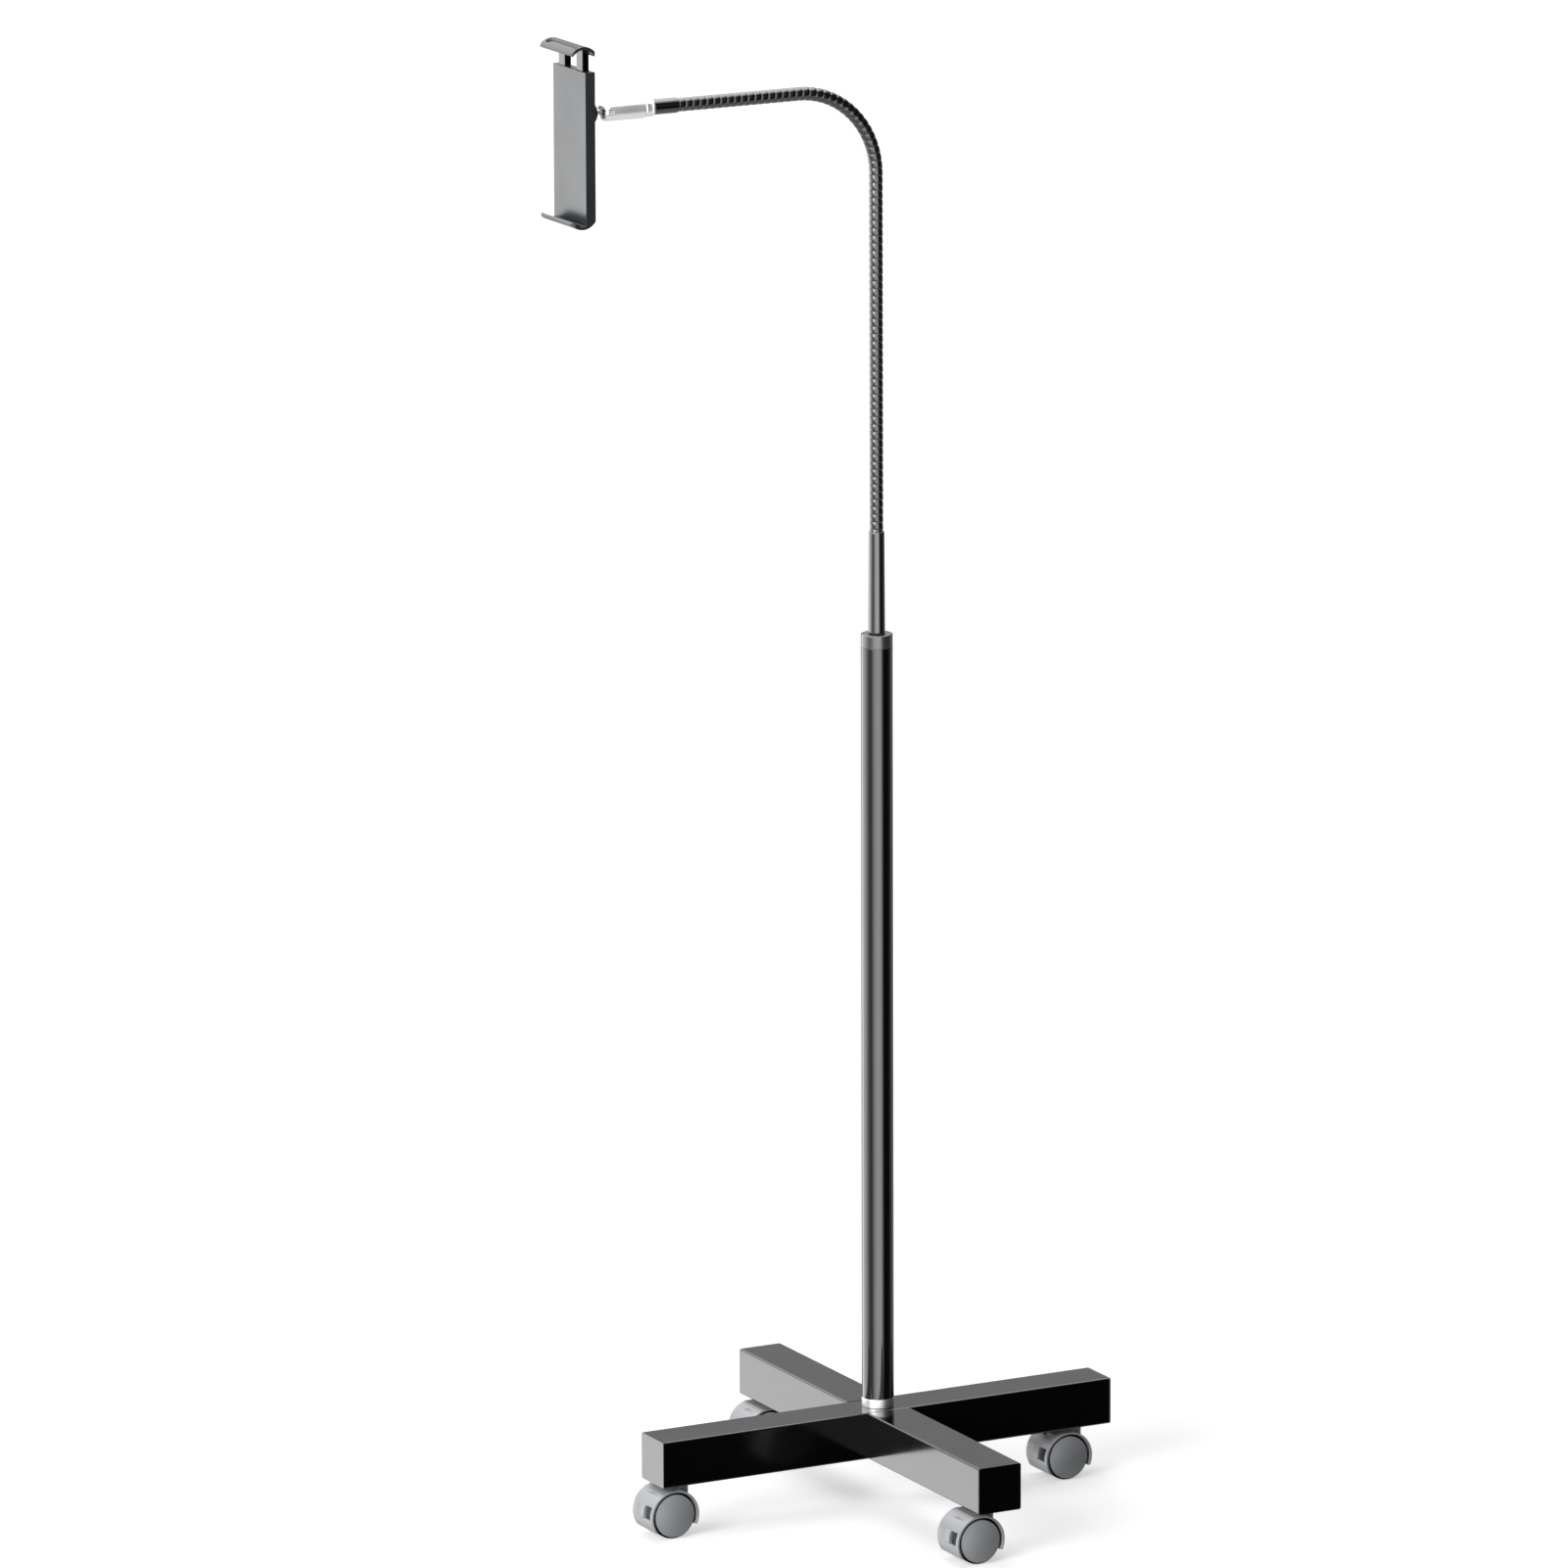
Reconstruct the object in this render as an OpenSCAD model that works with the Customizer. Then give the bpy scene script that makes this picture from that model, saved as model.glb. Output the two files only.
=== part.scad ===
// Floor stand for a tablet: a cross base on four twin-wheel casters, a straight column,
// a bendable ribbed neck and a spring-loaded holder on a ball joint.
// Front is the -X side, where the tablet's screen faces. The origin lies on the floor,
// under the middle of the whole stand, so the column stands at x = column_x.

/* [Base] */
// Width of the base from arm tip to arm tip
base_span = 450; // [400:10:520]
// Height of the top of the arms above the floor
base_top = 90; // [89:1:96]
// Side of the square arm tube
arm_w = 42; // [38:1:42]
// Wall of the arm tube
arm_wall = 2; // [1.5:0.5:3]
// Outer corner radius of the arm tube
arm_r = 1.6; // [1.5:0.1:3]
// Distance from an arm tip to the middle of its caster stem
caster_inset = 27; // [24:1:40]

/* [Casters] */
// Diameter of a caster wheel
wheel_d = 42; // [38:1:42]
// Width over the two wheels of a caster
caster_w = 41; // [38:1:46]
// Distance from the stem to the axle, seen from above
caster_trail = 14; // [13:1:16]
// Diameter of the caster stem
stem_d = 10; // [8:0.5:10]
// Diameter of the caster axle
axle_d = 5; // [4:0.5:6]

/* [Column] */
// Diameter of the column
column_d = 28.6; // [25:0.1:32]
// Wall of the column tube
column_wall = 1.5; // [1:0.1:2]
// Height of the top of the column above the floor
column_top = 790; // [600:10:900]
// Length of the collar that closes the column
collar_len = 11.5; // [8:0.5:20]
// Visible length of the spigot between the base and the column
spigot_len = 8; // [4:1:16]

/* [Neck] */
// Length of the neck's lower ferrule
lower_ferrule_len = 91; // [60:1:120]
// Diameter of the lower ferrule at the column
lower_ferrule_d = 15.2; // [14.8:0.1:18]
// Diameter over the ribs of the hose
hose_d = 12.1; // [12:0.05:12.6]
// Depth of the grooves between the ribs
groove = 0.47; // [0.3:0.01:0.5]
// Radius of the bend at the top of the neck
bend_r = 76; // [74:1:90]
// Ribs on each link of the hose, from the column to the head
link_ribs = [7, 12, 12, 12, 6, 3, 3, 3, 3, 3, 6, 7, 6.2];
// Bend between each link and the one before it, in degrees
link_bend = [0, 0, 0, 0, 0, 15, 15, 15, 15, 15, 15, 0, 0];
// Length of the upper ferrule
upper_ferrule_len = 24; // [18:1:40]
// Diameter of the upper ferrule
upper_ferrule_d = 13.5; // [13:0.1:16]
// Length of the lock ring
ring_len = 9; // [6:1:14]
// Diameter of the lock ring
ring_d = 16.5; // [15:0.1:18]

/* [Ball joint] */
// Length of the socket housing
socket_len = 41; // [36:1:60]
// Diameter of the socket housing
socket_d = 17.5; // [17.2:0.1:18.5]
// Diameter of the ball
ball_d = 12.6; // [12.2:0.1:13]
// Diameter of the ball's stem
stud_d = 5; // [4.5:0.1:5.2]
// Distance from the socket's nose to the back of the holder
head_gap = 20; // [20:1:30]

/* [Holder] */
// Width of the holder
holder_w = 61; // [58:1:70]
// Thickness of the holder
holder_t = 9.2; // [8.4:0.1:12]
// Height of the holder's body above the middle of the ball joint
holder_up = 40.5; // [38:0.5:60]
// Depth of the lower jaw below the middle of the ball joint
holder_down = 95.3; // [92:0.1:110]
// Height of the upper jaw's crown above the ball joint, closed
jaw_top = 63; // [62:1:80]
// Outer radius of the curl of both jaws
jaw_r = 14.5; // [14:0.5:16]
// Thickness of the jaws
jaw_t = 2.6; // [2.2:0.1:3]
// Reach of the jaws in front of the holder's face
jaw_reach = 14.3; // [13:0.1:15]
// How far the upper jaw opens
jaw_travel = 75; // [40:5:75]
// Width of each of the upper jaw's posts
post_w = 11.5; // [8:0.5:12]

/* [Hidden] */
// Clearances: a turning or sliding fit, a sliding post, and bodies that stay apart
run_fit = 0.05;
ball_fit = 0.08;
slide_fit = 0.1;
free_fit = 0.05;
apart = 0.3;
$fn = 64;

// Base
base_half = base_span / 2;
arm_bottom = base_top - arm_w;
arm_mid = base_top - arm_w / 2;
cap_t = 1.6;
cap_plug = 12;
stem_at = base_half - caster_inset;
stem_ends = [[-stem_at, 0], [0, -stem_at], [stem_at, 0], [0, stem_at]];
socket_wall = 2;
socket_up = 24;
stem_up = 20;
flange_t = 1.4;
flange_out = 2;
bolt_d = 8;
bolt_head_d = 13;
bolt_head_h = 6;
bolt_in = 28;
bolt_room = 4;
hex_d = 6.9;
hex_deep = 3.5;
washer_d = 24;
washer_t = 2;
spigot_up = 60;
spigot_bore = 18;

// Casters
wheel_r = wheel_d / 2;
stem_seat = 4.4;
stem_low = wheel_r + stem_seat;
hood_gap = 0.5;
hood_t = 1.9;
hood_r = wheel_r + hood_gap + hood_t;
hood_top = min(wheel_r + 1.6, arm_bottom - wheel_r - 3);
hood_half = caster_w / 2 - 1.5;
web_half = 4;
boss_r = stem_d / 2 + 2.2;
hub_r = caster_trail - boss_r - 0.8;
rim_in = boss_r + 1.4;
front_edge = -wheel_r + 7.5;
rear_edge = -wheel_r + 11.5;
slot_w = 10;
slot_h = 11.5;
slot_low = -2;
vent_d = 3.2;
vent_turn = 56;
axle_half = caster_w / 2 - 4.5;
dome_h = 3;
disc_gap = 1.2;
disc_out = 2;

// Column
column_in = column_d / 2 - column_wall;
column_low = base_top + spigot_len;
collar_low = column_top - collar_len;
collar_plug = 30;
tail_r = 5;
tail_len = 26;

// Neck
hose_r = hose_d / 2;
hose_core = hose_r - groove;
hose_bore = 2.2;
joint_half = 1.2;
knuckle_r = 4.6;
rib_pitch = 2 * bend_r * tan(15 / 2) / 3;
links = len(link_ribs);
last_link = links - 1;
hose_low = column_top + lower_ferrule_len;
tail_in = 20;
function link_len(k) = link_ribs[k] * rib_pitch;
function link_dir(k) = k == 0 ? link_bend[0] : link_dir(k - 1) + link_bend[k];
function link_at(k) = k == 0 ? [0, hose_low]
  : link_at(k - 1) + link_len(k - 1) * [-sin(link_dir(k - 1)), cos(link_dir(k - 1))];
axis_z = link_at(last_link)[1];
hose_end = link_at(last_link)[0] - link_len(last_link);
ferrule_end = hose_end - upper_ferrule_len;
ring_end = ferrule_end - ring_len;
nose_x = ring_end - socket_len;
thread_r = 4;
thread_in = 12;

// Ball joint
ball_r = ball_d / 2;
ball_x = nose_x + 6.6;
stud_r = stud_d / 2;
tilt_back = 22;
notch_half = stud_r + 0.4;
back_x = nose_x - head_gap;
boss_len = 14;
nut_d = 8;
nut_t = 3.4;
stud_washer_t = 0.6;

// Holder
front_x = back_x - holder_t;
face_t = 1.2;
cover_t = 1.6;
post_t = holder_t - face_t - cover_t - 2 * slide_fit;
post_side = 8;
post_in = holder_w / 2 - post_side - post_w;
post_mid = post_in + post_w / 2;
recess_half = holder_w / 2 - 6;
recess_r = 2.6;
recess_x = 7;
recess_deep = 0.8;
pad_half = holder_w / 2 - 6.5;
post_hold = 17.5;
post_low = holder_up - jaw_travel - post_hold;
wall_t = 1.6;
rib_t = 1.2;
ledge = 3;
ledge_out = 4;
jaw_corner_r = 4.5;
curl_low_x = 3;
curl_low_z = jaw_r - holder_down;
screw_r = 1.1;
screw_len = 6;
screw_head_r = 2.2;
screw_head_t = 1;
screw_post_r = 2.8;
cross_t = 0.7;
screw_y = holder_w / 2 - 4.2;
cavity_low = curl_low_z - 5.2;
screw_z = [holder_up - 6.5, cavity_low + 6];
curl_up_x = 1.5;
curl_up_z = jaw_top - jaw_r;
tip_up = 33;
tip_low = 38;
grip_t = 0.9;
pad_from = 2.6;
pad_back = 3.9;
spring_r = 1.9;
spring_wire = 0.6;
spring_turns = 10;
spring_low = cavity_low;

column_x = (-(front_x - jaw_reach) - base_half) / 2;

module at_column() {
  translate([column_x, 0, 0]) children();
}

// Square tube outline with exact round corners
module round_square(w, h, r) {
  square([w - 2 * r, h], center = true);
  square([w, h - 2 * r], center = true);
  for (x = [-1, 1], y = [-1, 1])
    translate([x * (w / 2 - r), y * (h / 2 - r)]) circle(r);
}

// Square tube along +X, its section centred on the axis
module square_tube(l) {
  rotate([90, 0, 90]) linear_extrude(l) difference() {
    round_square(arm_w, arm_w, arm_r);
    round_square(arm_w - 2 * arm_wall, arm_w - 2 * arm_wall, arm_r - 0.8);
  }
}

// Drilled hole for a caster stem through the lower wall of an arm
module stem_hole(p) {
  translate([p[0], p[1], arm_bottom - 1])
    cylinder(h = arm_wall + 2, r = stem_d / 2 + socket_wall + free_fit);
}

module base_tube_long() {
  color("#1c1c1e") at_column() difference() {
    translate([cap_t - base_half, 0, arm_mid]) square_tube(base_span - 2 * cap_t);
    translate([0, 0, arm_bottom - 1]) cylinder(h = arm_w + 2, d = bolt_d + 0.6);
    stem_hole(stem_ends[0]);
    stem_hole(stem_ends[2]);
  }
}

module base_tube_short(side) {
  color("#1c1c1e") at_column() difference() {
    translate([0, side * arm_w / 2, arm_mid]) rotate([0, 0, side * 90])
      square_tube(base_half - cap_t - arm_w / 2);
    stem_hole(stem_ends[2 + side]);
  }
}

// Moulded plug with a flat cover plate, in the end of each arm
module arm_end_caps() {
  plug_w = arm_w - 2 * arm_wall - 0.3;
  color("#202022") at_column() for (a = [0:90:270]) rotate([0, 0, a])
    translate([base_half, 0, arm_mid]) rotate([90, 0, 90]) {
      translate([0, 0, -cap_t]) linear_extrude(cap_t) round_square(arm_w, arm_w, arm_r);
      translate([0, 0, -cap_t - cap_plug]) linear_extrude(cap_plug) difference() {
        round_square(plug_w, plug_w, 1);
        round_square(plug_w - 4, plug_w - 4, 1);
      }
    }
}

// Chrome foot of the column, a collar with a long spigot inside the column
module hub_spigot() {
  color("#d9dadc") at_column() difference() {
    union() {
      translate([0, 0, base_top]) cylinder(h = spigot_len, d = column_d);
      translate([0, 0, column_low]) cylinder(h = spigot_up, r = column_in - slide_fit);
    }
    translate([0, 0, base_top - 1])
      cylinder(h = bolt_in + bolt_room + 1, d = bolt_d + 2 * run_fit);
    translate([0, 0, base_top + bolt_in + bolt_room]) cylinder(h = spigot_up, d = spigot_bore);
  }
}

module hub_bolt() {
  head_top = arm_bottom - washer_t;
  color("#a8abb0") at_column() difference() {
    union() {
      translate([0, 0, head_top - bolt_head_h]) cylinder(h = bolt_head_h, d = bolt_head_d);
      translate([0, 0, head_top]) cylinder(h = base_top + bolt_in - head_top, d = bolt_d);
    }
    translate([0, 0, head_top - bolt_head_h - 1]) cylinder(h = hex_deep + 1, d = hex_d, $fn = 6);
  }
}

module hub_washer() {
  color("#b4b7bb") at_column() translate([0, 0, arm_bottom - washer_t]) difference() {
    cylinder(h = washer_t, d = washer_d);
    translate([0, 0, -1]) cylinder(h = washer_t + 2, d = bolt_d + 0.4);
  }
}

// Steel bushes inside the arms that hold the caster stems
module caster_sockets() {
  color("#8f9296") at_column() for (p = stem_ends)
    translate([p[0], p[1], arm_bottom]) difference() {
      cylinder(h = socket_up, r = stem_d / 2 + socket_wall);
      translate([0, 0, -1]) cylinder(h = socket_up + 2, r = stem_d / 2 + run_fit);
    }
}

module caster_stems() {
  color("#c3c5c8") at_column() for (p = stem_ends) translate([p[0], p[1], 0]) {
    translate([0, 0, stem_low]) cylinder(h = arm_bottom + stem_up - stem_low, d = stem_d);
    translate([0, 0, arm_bottom - flange_t]) cylinder(h = flange_t, r = stem_d / 2 + flange_out);
  }
}

module column_tube() {
  color("#1a1a1c") at_column() translate([0, 0, column_low]) difference() {
    cylinder(h = collar_low - column_low, d = column_d);
    translate([0, 0, -1]) cylinder(h = column_top, r = column_in);
  }
}

// Turned collar pressed into the top of the column
module column_collar() {
  color("#2c2d30") at_column() difference() {
    union() {
      translate([0, 0, collar_low]) cylinder(h = collar_len - 0.5, d = column_d);
      translate([0, 0, column_top - 0.5]) cylinder(h = 0.5, r1 = column_d / 2, r2 = column_d / 2 - 0.5);
      translate([0, 0, collar_low - collar_plug]) cylinder(h = collar_plug, r = column_in - slide_fit);
    }
    translate([0, 0, collar_low - collar_plug - 1])
      cylinder(h = collar_plug + collar_len + 2, r = tail_r + run_fit);
  }
}

// Caster parts are drawn round their axle, then set on the stem's place
module at_caster(n) {
  p = stem_ends[n - 1];
  translate([column_x + p[0] - caster_trail, p[1], wheel_r]) children();
}

// Side view of the hood, extruded over a half width
module hood_slab(half_w) {
  rotate([90, 0, 0]) translate([0, 0, -half_w]) linear_extrude(2 * half_w) children();
}

module hood_outline() {
  intersection() {
    circle(hood_r);
    union() {
      translate([-2 * hood_r, front_edge]) square([2 * hood_r, hood_top - front_edge]);
      translate([0, rear_edge]) square([2 * hood_r, hood_top - rear_edge]);
    }
  }
}

module caster_hood(n) {
  color("#8e9093") at_caster(n) difference() {
    union() {
      hood_slab(hood_half) difference() {
        hood_outline();
        circle(wheel_r + hood_gap);
      }
      hood_slab(web_half) difference() {
        hood_outline();
        translate([-2 * hood_r, -3 * hood_r]) square([4 * hood_r, 3 * hood_r - 6]);
      }
      translate([caster_trail, 0, 2]) cylinder(h = hood_top - 2, r = boss_r);
    }
    translate([caster_trail, 0, 4]) cylinder(h = hood_top, r = stem_d / 2 + run_fit);
    rotate([90, 0, 0]) translate([0, 0, -web_half - 1])
      cylinder(h = 2 * web_half + 2, r = axle_d / 2 + run_fit / 2);
    translate([-hood_r - 1, -web_half - 1 - slot_w, slot_low]) cube([hood_t + 5, slot_w, slot_h]);
    rotate([0, vent_turn, 0]) translate([-hood_r - 1, 0, 0]) rotate([0, 90, 0])
      cylinder(h = hood_t + 2.4, d = vent_d);
  }
}

module caster_axle(n) {
  color("#c3c5c8") at_caster(n) rotate([90, 0, 0]) translate([0, 0, -axle_half])
    cylinder(h = 2 * axle_half, d = axle_d);
}

// One wheel of a pair: a rim, a domed outer disc and a hub on the axle
module caster_wheel(n, side) {
  outer = caster_w / 2;
  face = outer - dome_h;
  tread_out = face - disc_out;
  dome_r = wheel_r - disc_gap;
  color("#77797c") at_caster(n) rotate([side * 90, 0, 0]) rotate_extrude($fn = 96) polygon([
    [axle_d / 2 + run_fit, web_half + apart], [hub_r, web_half + apart],
    [hub_r, tread_out - 1], [wheel_r - 3.4, tread_out - 1], [wheel_r - 2.6, rim_in],
    [wheel_r - 0.8, rim_in], [wheel_r, rim_in + 0.8], [wheel_r, tread_out - 0.6],
    [wheel_r - 0.6, tread_out], [dome_r, tread_out], [dome_r, face],
    for (i = [0:7]) let (r = (dome_r - 0.5) * (1 - i / 8))
      [r, outer - (dome_h - 0.5) * pow(r / (dome_r - 0.5), 2)],
    [0, outer], [0, axle_half + apart], [axle_d / 2 + run_fit, axle_half + apart]
  ]);
}

// Tapered ferrule that carries the hose, with a tail that turns in the collar
module lower_ferrule() {
  color("#161618") at_column() difference() {
    union() {
      translate([0, 0, column_top])
        cylinder(h = 1.2, r1 = lower_ferrule_d / 2 - 0.6, r2 = lower_ferrule_d / 2);
      translate([0, 0, column_top + 1.2])
        cylinder(h = lower_ferrule_len - 2, r1 = lower_ferrule_d / 2, r2 = lower_ferrule_d / 2 - 0.5);
      translate([0, 0, hose_low - 0.8])
        cylinder(h = 0.8, r1 = lower_ferrule_d / 2 - 0.5, r2 = lower_ferrule_d / 2 - 1);
      translate([0, 0, column_top - tail_len]) cylinder(h = tail_len, r = tail_r);
    }
    translate([0, 0, hose_low - tail_in - 0.5]) cylinder(h = tail_in + 1, r = hose_core + run_fit);
    translate([0, 0, column_top - tail_len - 1])
      cylinder(h = lower_ferrule_len + tail_len, r = hose_bore);
  }
}

// Outline of a link: ribs at an even pitch between its two ends
function rib_points(j) = [
  [hose_core, (j + 0.16) * rib_pitch], [hose_r, (j + 0.3) * rib_pitch],
  [hose_r, (j + 0.7) * rib_pitch], [hose_core, (j + 0.84) * rib_pitch]
];

// A rigid link of the hose. Its round knuckle sits in the cup of the link before it
module hose_link(k) {
  low = k == 0 ? -tail_in : joint_half;
  high = k == last_link ? link_len(k) + tail_in - 4 : link_len(k) - joint_half;
  p = link_at(k);
  color("#202124") at_column() translate([p[0], 0, p[1]]) rotate([0, -link_dir(k), 0])
    difference() {
      union() {
        rotate_extrude() polygon(concat(
          [[0, low], [hose_core, low]],
          [for (j = [0:floor(link_ribs[k]) - 1]) each rib_points(j)],
          [[hose_core, high], [0, high]]
        ));
        if (k > 0) sphere(knuckle_r);
      }
      if (k < last_link) translate([0, 0, link_len(k)]) sphere(knuckle_r + ball_fit);
      translate([0, 0, -2 * tail_in]) cylinder(h = link_len(k) + 4 * tail_in, r = hose_bore);
    }
}

// The head's parts lie along -X from the end of the hose
module along_head(x) {
  at_column() translate([x, 0, axis_z]) rotate([0, -90, 0]) children();
}

module upper_ferrule() {
  bore = tail_in - 3;
  color("#131315") along_head(hose_end) difference() {
    union() {
      cylinder(h = 0.8, r1 = upper_ferrule_d / 2 - 0.6, r2 = upper_ferrule_d / 2);
      translate([0, 0, 0.8]) cylinder(h = upper_ferrule_len - 0.8, d = upper_ferrule_d);
      cylinder(h = upper_ferrule_len + ring_len + thread_in - 1, r = thread_r);
    }
    translate([0, 0, -1]) cylinder(h = bore + 1, r = hose_core + run_fit);
  }
}

module lock_ring() {
  color("#b9bbbe") along_head(ferrule_end) difference() {
    union() {
      cylinder(h = 0.7, r1 = ring_d / 2 - 0.7, r2 = ring_d / 2);
      translate([0, 0, 0.7]) cylinder(h = ring_len - 1.4, d = ring_d);
      translate([0, 0, ring_len - 0.7]) cylinder(h = 0.7, r1 = ring_d / 2, r2 = ring_d / 2 - 0.7);
    }
    translate([0, 0, -1]) cylinder(h = ring_len + 2, r = thread_r + run_fit);
  }
}

// Chrome housing with a spherical seat, a round nose and a notch for the stem.
// It is drawn with the middle of the ball at z = 0 and the nose at +z.
module socket_housing() {
  nose = ball_x - nose_x;
  back = socket_len - nose;
  opening = stud_r / cos(tilt_back) + 0.2;
  color("#d4d6d8") along_head(ball_x) difference() {
    union() {
      translate([0, 0, -back]) cylinder(h = 0.8, r1 = socket_d / 2 - 0.8, r2 = socket_d / 2);
      translate([0, 0, 0.8 - back]) cylinder(h = back - 0.8, d = socket_d);
      sphere(d = socket_d);
    }
    translate([0, 0, nose]) cylinder(h = socket_d, d = 2 * socket_d);
    sphere(ball_r + ball_fit);
    cylinder(h = socket_d, r1 = opening, r2 = opening + socket_d * tan(tilt_back));
    rotate([90, 0, 0]) cylinder(h = socket_d, r = notch_half);
    translate([-notch_half, -socket_d, 0]) cube([2 * notch_half, socket_d, socket_d]);
    translate([0, 0, -back - 1]) cylinder(h = thread_in + 1, r = thread_r + run_fit);
    translate([0, 0, -back]) cylinder(h = back - ball_r + 1, r = 2.4);
  }
}

module ball_stud() {
  reach = ball_x - back_x + cover_t + stud_washer_t + nut_t + 0.4;
  color("#c9cbce") along_head(ball_x) {
    sphere(ball_r);
    cylinder(h = reach - 0.4, r = stud_r);
    translate([0, 0, reach - 0.4]) cylinder(h = 0.4, r1 = stud_r, r2 = stud_r - 0.4);
  }
}

module stud_washer() {
  color("#b4b7bb") along_head(back_x - cover_t) difference() {
    cylinder(h = stud_washer_t, d = 9);
    translate([0, 0, -1]) cylinder(h = stud_washer_t + 2, r = stud_r + run_fit);
  }
}

module stud_nut() {
  color("#9fa2a6") along_head(back_x - cover_t - stud_washer_t) difference() {
    cylinder(h = nut_t, d = nut_d / cos(30), $fn = 6);
    translate([0, 0, -1]) cylinder(h = nut_t + 2, r = stud_r + run_fit);
  }
}

// The holder's parts are drawn with x toward the user from the front face,
// and z from the middle of the ball joint
module at_holder() {
  at_column() translate([front_x, 0, axis_z]) mirror([1, 0, 0]) children();
}

// A curved jaw: an arc of constant thickness seen from the side, cut square at its tip
module curl(cx, cz, up) {
  translate([cx, 0, cz]) rotate([90, 0, 0]) translate([0, 0, -holder_w / 2]) difference() {
    cylinder(h = holder_w, r = jaw_r, $fn = 96);
    translate([0, 0, -1]) cylinder(h = holder_w + 2, r = jaw_r - jaw_t, $fn = 96);
    rotate([0, 0, up ? tip_up : -tip_low])
      translate([-2 * jaw_r, up ? -4 * jaw_r : 0, -1]) cube([4 * jaw_r, 4 * jaw_r, holder_w + 2]);
  }
}

// Round rod that runs toward the tablet from depth x, at the height z
module rod(x, y, z, h, r) {
  translate([x, y, z]) rotate([0, 90, 0]) cylinder(h = h, r = r);
}

// Rod across the whole holder, round the axis of a curl
module curl_rod(x, z, r) {
  translate([x, holder_w / 2, z]) rotate([90, 0, 0]) cylinder(h = holder_w, r = r, $fn = 96);
}

// Plan of a jaw, with round front corners, as a tall prism
module jaw_plan(low, high) {
  r = jaw_corner_r;
  translate([-holder_t, -holder_w / 2, low]) cube([holder_t + jaw_reach - r, holder_w, high - low]);
  translate([jaw_reach - r - 1, r - holder_w / 2, low]) cube([r + 1, holder_w - 2 * r, high - low]);
  for (s = [-1, 1])
    translate([jaw_reach - r, s * (holder_w / 2 - r), low]) cylinder(h = high - low, r = r);
}

// A strip of soft pad on the inner face of a curl
module grip(cx, cz, up) {
  inner = jaw_r - jaw_t;
  intersection() {
    translate([cx, 0, cz]) rotate([90, 0, 0]) translate([0, 0, -pad_half]) difference() {
      cylinder(h = 2 * pad_half, r = inner, $fn = 96);
      translate([0, 0, -1]) cylinder(h = 2 * pad_half + 2, r = inner - grip_t, $fn = 96);
    }
    translate([pad_from, -pad_half, up ? cz : cz - jaw_r])
      cube([jaw_reach - pad_back - pad_from, 2 * pad_half, jaw_r]);
  }
}

module front_shell() {
  inside = holder_w - 2 * wall_t;
  depth = holder_t - face_t;
  cover_in = cover_t - holder_t;
  rib_h = holder_t - cover_t - face_t / 2;
  guide = rib_t / 2 + slide_fit;
  color("#56585b") at_holder() difference() {
    union() {
      difference() {
        union() {
          translate([-holder_t, -holder_w / 2, curl_low_z])
            cube([holder_t, holder_w, holder_up - curl_low_z]);
          intersection() {
            curl_rod(curl_low_x, curl_low_z, jaw_r);
            translate([-holder_t, -holder_w / 2, -holder_down - 1])
              cube([holder_t, holder_w, jaw_r + 2]);
          }
        }
        translate([-holder_t - 1, -inside / 2, cavity_low])
          cube([depth + 1, inside, holder_up - wall_t - cavity_low]);
      }
      intersection() {
        curl(curl_low_x, curl_low_z, false);
        jaw_plan(-holder_down - 1, curl_low_z);
        translate([-face_t, -holder_w, -2 * holder_down])
          cube([2 * jaw_reach, 2 * holder_w, 2 * holder_down]);
      }
      for (s = [-1, 1]) {
        for (y = [post_in - guide, post_in + post_w + guide])
          translate([cover_in, s * y - rib_t / 2, cavity_low - 1])
            cube([rib_h, rib_t, holder_up - wall_t / 2 - cavity_low + 1]);
        for (y = [post_mid - ledge_out, post_mid + ledge_out])
          translate([cover_in, s * y - ledge / 2, post_low - ledge]) cube([rib_h, ledge, ledge]);
        for (z = screw_z) rod(cover_in, s * screw_y, z, rib_h, screw_post_r);
      }
    }
    for (s = [-1, 1]) {
      translate([-holder_t + cover_t, s * post_mid - post_w / 2 - slide_fit, 0])
        cube([post_t + 2 * slide_fit, post_w + 2 * slide_fit, holder_up + 1]);
      for (z = screw_z) rod(-holder_t, s * screw_y, z, depth - 0.4, screw_r + free_fit);
    }
  }
}

// Flush back cover, with the boss that the ball's stem runs in
module rear_cover() {
  inside = holder_w - 2 * wall_t - 0.3;
  color("#2a2b2d") at_holder() difference() {
    union() {
      translate([-holder_t, -inside / 2, cavity_low + 0.15])
        cube([cover_t, inside, holder_up - wall_t - 0.3 - cavity_low]);
      translate([-holder_t - boss_len, 0, 0]) rotate([0, 90, 0])
        cylinder(h = 1, r1 = socket_d / 2 - 1, r2 = socket_d / 2);
      rod(1 - holder_t - boss_len, 0, 0, boss_len, socket_d / 2);
    }
    rod(-holder_t - boss_len - 1, 0, 0, boss_len + holder_t, stud_r + run_fit);
    for (s = [-1, 1], z = screw_z) {
      rod(-holder_t - 1, s * screw_y, z, cover_t + 2, screw_r + 3 * free_fit);
      rod(-holder_t - 1, s * screw_y, z, 1 + screw_head_t, screw_head_r + 2 * free_fit);
    }
  }
}

module cover_screws() {
  color("#8f9296") at_holder() for (s = [-1, 1], z = screw_z)
    difference() {
      union() {
        rod(-holder_t, s * screw_y, z, screw_head_t, screw_head_r);
        rod(-holder_t, s * screw_y, z, screw_len, screw_r);
      }
      translate([-holder_t - 0.1, s * screw_y, z]) {
        translate([0, -screw_r, -cross_t / 2]) cube([screw_head_t / 2, 2 * screw_r, cross_t]);
        translate([0, -cross_t / 2, -screw_r]) cube([screw_head_t / 2, cross_t, 2 * screw_r]);
      }
    }
}

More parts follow.
